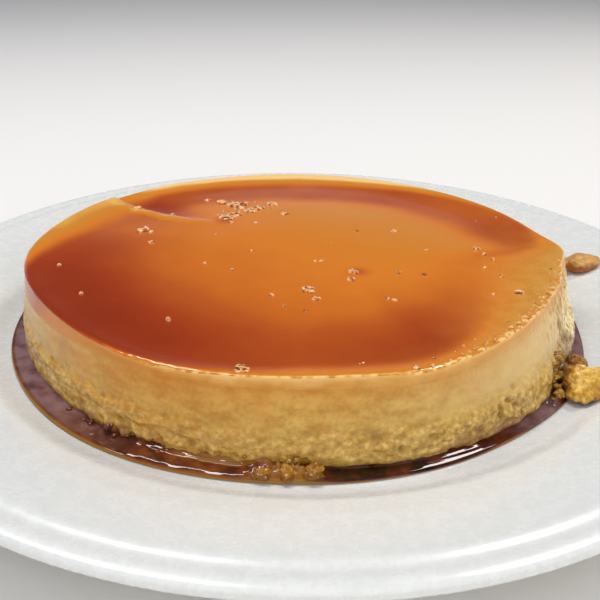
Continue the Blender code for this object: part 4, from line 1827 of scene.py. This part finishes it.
@dataclass(frozen=True)
class CurdTalus:
    """Wet curds that have broken off the custard, strewn over a low slope from the sauce up to its foot.

    crowds is where round the foot they lie, reaches how much higher than least_reach the slope goes up the
    side, and spreads how far out it comes, hollowed by a power. unevenness and lump are shares of the largest.
    """

    name: str
    crowds: tuple[Lobe, ...]
    reaches: tuple[Lobe, ...]
    spreads: tuple[Lobe, ...]
    density: float
    smallest: float
    largest: float
    seed: int
    squash: float = 0.75
    unevenness: float = 0.4
    lump: float = 1.2
    least_reach: float = 1.4 * MM
    lowest: float = 1.2 * MM
    hollowing: float = 1.5
    sectors: int = 360
    rows: int = 14

    def build(self, skin: FlanSkin, look: Material) -> Piece:
        """Models and dresses the curds.

        Args:
            skin: The flan's relief.
            look: The soaked custard.

        Returns:
            The curds as one piece.
        """
        angle, way = np.meshgrid(turns(self.sectors), np.linspace(0, 1, self.rows))
        top = self.least_reach + lobe_sum(self.reaches, angle)
        slope, _ = skin.side(angle, self.lowest + way * top)
        slope = slope + polar(lobe_sum(self.spreads, angle) * (1 - way) ** self.hollowing, angle)
        crowd = lobe_sum(self.crowds, angle)
        base = ring_mesh("curd_slope", slope, {"crowd": crowd, "size": 0 * crowd}, Ends.OPEN)
        uneven, lump = self.unevenness * self.largest, self.lump * self.largest
        beads = Beads(self.name, self.squash, uneven, lump, self.smallest, self.largest)
        return dress(beads.grow(self.name, base, self.density, self.seed, look), look)


# ---------------------------------------------------------------- the studio


@dataclass(frozen=True)
class SoftLight:
    """An area light that looks at the flan: its place by turn, height and distance, its size and its power.

    A polarised light doesn't mirror in wet caramel or glaze.
    """

    name: str
    azimuth: float
    elevation: float
    distance: float
    width: float
    depth: float
    power: float
    tint: str
    roll: float = 0.0
    polarised: bool = False

    def hang(self, target: Vector) -> None:
        """Hangs the light.

        Args:
            target: What it is aimed at.
        """
        lamp = bpy.data.lights.new(self.name, "AREA")
        lamp.shape = "RECTANGLE"
        lamp.size = self.width
        lamp.size_y = self.depth
        lamp.energy = self.power
        lamp.color = linear(self.tint)[:3]
        turn, rise = radians(self.azimuth), radians(self.elevation)
        away = Vector((cos(rise) * cos(turn), cos(rise) * sin(turn), sin(rise)))
        held = placed(self.name, lamp)
        held.location = target + away * self.distance
        facing = away.to_track_quat("Z", "Y") @ Quaternion((0, 0, 1), radians(self.roll))
        held.rotation_euler = facing.to_euler()
        held.visible_glossy = not self.polarised


@dataclass(frozen=True)
class Studio:
    """The camera, a plain pale table, a soft grey surround and the lights."""

    lens: float = 51.0
    sensor: float = 36.0
    nearest: float = 0.01
    place: tuple[float, float, float] = (0.0, -263.2 * MM, 138.6 * MM)
    turn: tuple[float, float, float] = (64.683, -0.695, 0.482)
    floor_half: float = 4.0
    # The surround, from the horizon up: (sine of the height, colour). A pale wall under a dark ceiling.
    surround: Stops = ((0.0, "#c0c2d0"), (0.22, "#a7a9b8"), (0.36, "#3c3f49"), (0.80, "#474a54"))
    # A pale panel in the ceiling, over the flan's front: where its middle is, and how its edge fades.
    panel: tuple[float, float, float] = (0.0, -0.34, 0.94)
    panel_edge: tuple[float, float] = (0.78, 0.96)
    panel_tint: str = "#f2f3f8"
    surround_strength: float = 1.0
    lights: tuple[SoftLight, ...] = (
        SoftLight("ceiling_lamp_left", 150, 66, 1.0, 0.46, 0.18, 5.2, "#ffffff", -64),
        SoftLight("ceiling_lamp_right", 36, 58, 1.0, 0.24, 0.18, 2.9, "#ffffff"),
        SoftLight("front_left_soft", -125, 24, 1.1, 0.6, 0.6, 2.4, "#fffefc", polarised=True),
        SoftLight("front_right_soft", -62, 25, 1.1, 0.6, 0.6, 4.2, "#fffbf2", polarised=True),
        SoftLight("right_fill", 24, 13, 1.1, 0.6, 0.5, 3.2, "#fff3e0", polarised=True),
    )

    def build(self) -> None:
        """Sets up the camera, the table, the surround and the lights."""
        scene = bpy.context.scene
        lens = bpy.data.cameras.new("camera")
        lens.lens = self.lens
        lens.sensor_width = self.sensor
        lens.clip_start = self.nearest
        camera = placed("camera", lens)
        camera.location = self.place
        camera.rotation_euler = Euler([radians(value) for value in self.turn])
        scene.camera = camera
        scene.view_settings.view_transform = "Standard"
        mesh = bpy.data.meshes.new("table")
        half = self.floor_half
        corners = [(-half, -half, 0), (half, -half, 0), (half, half, 0), (-half, half, 0)]
        mesh.from_pydata(corners, [], [(0, 1, 2, 3)])
        mesh.materials.append(PaintedFloor().material())
        table = placed("table", mesh)
        world = bpy.data.worlds.new("surround")
        world.use_nodes = True
        tree = world.node_tree
        toward = add_node(tree, "ShaderNodeTexCoord").outputs["Generated"]
        parts = add_node(tree, "ShaderNodeSeparateXYZ", {0: toward})
        wall = add_node(tree, "ShaderNodeValToRGB", {"Fac": parts.outputs["Z"]}, self.surround)
        facing = add_node(tree, "ShaderNodeVectorMath", {0: toward, 1: self.panel}, operation="DOT_PRODUCT")
        near, full = self.panel_edge
        share = add_node(
            tree,
            "ShaderNodeMapRange",
            {"Value": facing.outputs["Value"], "From Min": near, "From Max": full},
            interpolation_type="SMOOTHSTEP",
        )
        panel = linear(self.panel_tint)
        lit = add_node(
            tree, "ShaderNodeMix", {MIX_FACTOR: share, MIX_LOW: wall, MIX_HIGH: panel}, data_type="RGBA"
        )
        tree.links.new(lit.outputs[MIX_RESULT], tree.nodes["Background"].inputs["Color"])
        tree.nodes["Background"].inputs["Strength"].default_value = self.surround_strength
        scene.world = world
        middle = (CAD_BOX[0] + CAD_BOX[1]) / 2
        for light in self.lights:
            light.hang(middle)


def main() -> None:
    """Builds the plate, the flan, the sauce, the scraps and the studio."""
    logging.basicConfig(level=logging.INFO, format="%(message)s")
    form = FlanForm()
    skin = FlanSkin(form)
    custard = SteamedCustard().material()
    soaked = SteamedCustard(
        name="soaked_custard",
        roughness=0.16,
        coat=0.3,
        coat_roughness=0.04,
        middle="#94691c",
        shade="#6c460c",
        light="#c09634",
        soaked="#7c4e10",
    ).material()
    tongue = SteamedCustard(
        name="torn_off_custard", shade="#c08a48", middle="#cda45c", light="#d2b468", soaked="#9a5424"
    ).material()
    sodden = SteamedCustard(
        name="sodden_curds",
        roughness=0.14,
        coat=0.45,
        coat_roughness=0.04,
        middle="#65300f",
        shade="#481a08",
        light="#8a5020",
    ).material()
    Plate().build(GlazedStoneware().material())
    Custard().build(skin, custard)
    CaramelLayer().build(skin, CaramelFilm().material())
    SaucePool().build(form, CaramelSauce().material())
    # Its darkest colour, in the crumbs' recesses, is painted shade.
    yolk = SteamedCustard(
        name="crumbled_custard", middle="#dcb54e", shade="#b98a34", light="#ecd078", hollow="#a2702a"
    ).material()
    Scrap(
        "broken_custard", "custard", Soaking.FOOT, crumb=3.6 * MM, crumb_height=1.1 * MM, wicked_to=95 * MM
    ).build(yolk)
    Scrap("custard_tongue", "soaked_custard", Soaking.HALF, crumb=4.0 * MM, crumb_height=0.3 * MM).build(tongue)
    for name in ("soaked_rubble", "soaked_scrap_1", "soaked_scrap_2", "soaked_scrap_3"):
        Scrap(name, "soaked_custard", Soaking.HALF, crumb=2.2 * MM, crumb_height=0.85 * MM).build(soaked)
    CurdTalus(
        "sodden_curds",
        crowds=(Lobe(-123, 15, 1.0, 4),),
        reaches=(Lobe(-118, 18, 1.2 * MM),),
        spreads=(Lobe(-118, 22, 2.2 * MM),),
        density=110000,
        smallest=0.5 * MM,
        largest=1.5 * MM,
        seed=5,
        squash=0.6,
    ).build(skin, sodden)
    CurdTalus(
        "amber_curds",
        crowds=(Lobe(-93, 6.2, 1.0, 6), Lobe(-34, 5.5, 1.3, 4)),
        reaches=(Lobe(-94, 9, 2.2 * MM), Lobe(-33, 7, 7.0 * MM, 4)),
        spreads=(Lobe(-94, 9, 4.0 * MM, 4), Lobe(-35, 6, 3.6 * MM, 4)),
        density=300000,
        smallest=0.6 * MM,
        largest=1.7 * MM,
        seed=8,
        squash=0.55,
    ).build(skin, soaked)
    TopBubbles().build(form, Froth().material())
    Studio().build()


if __name__ == "__main__":
    main()
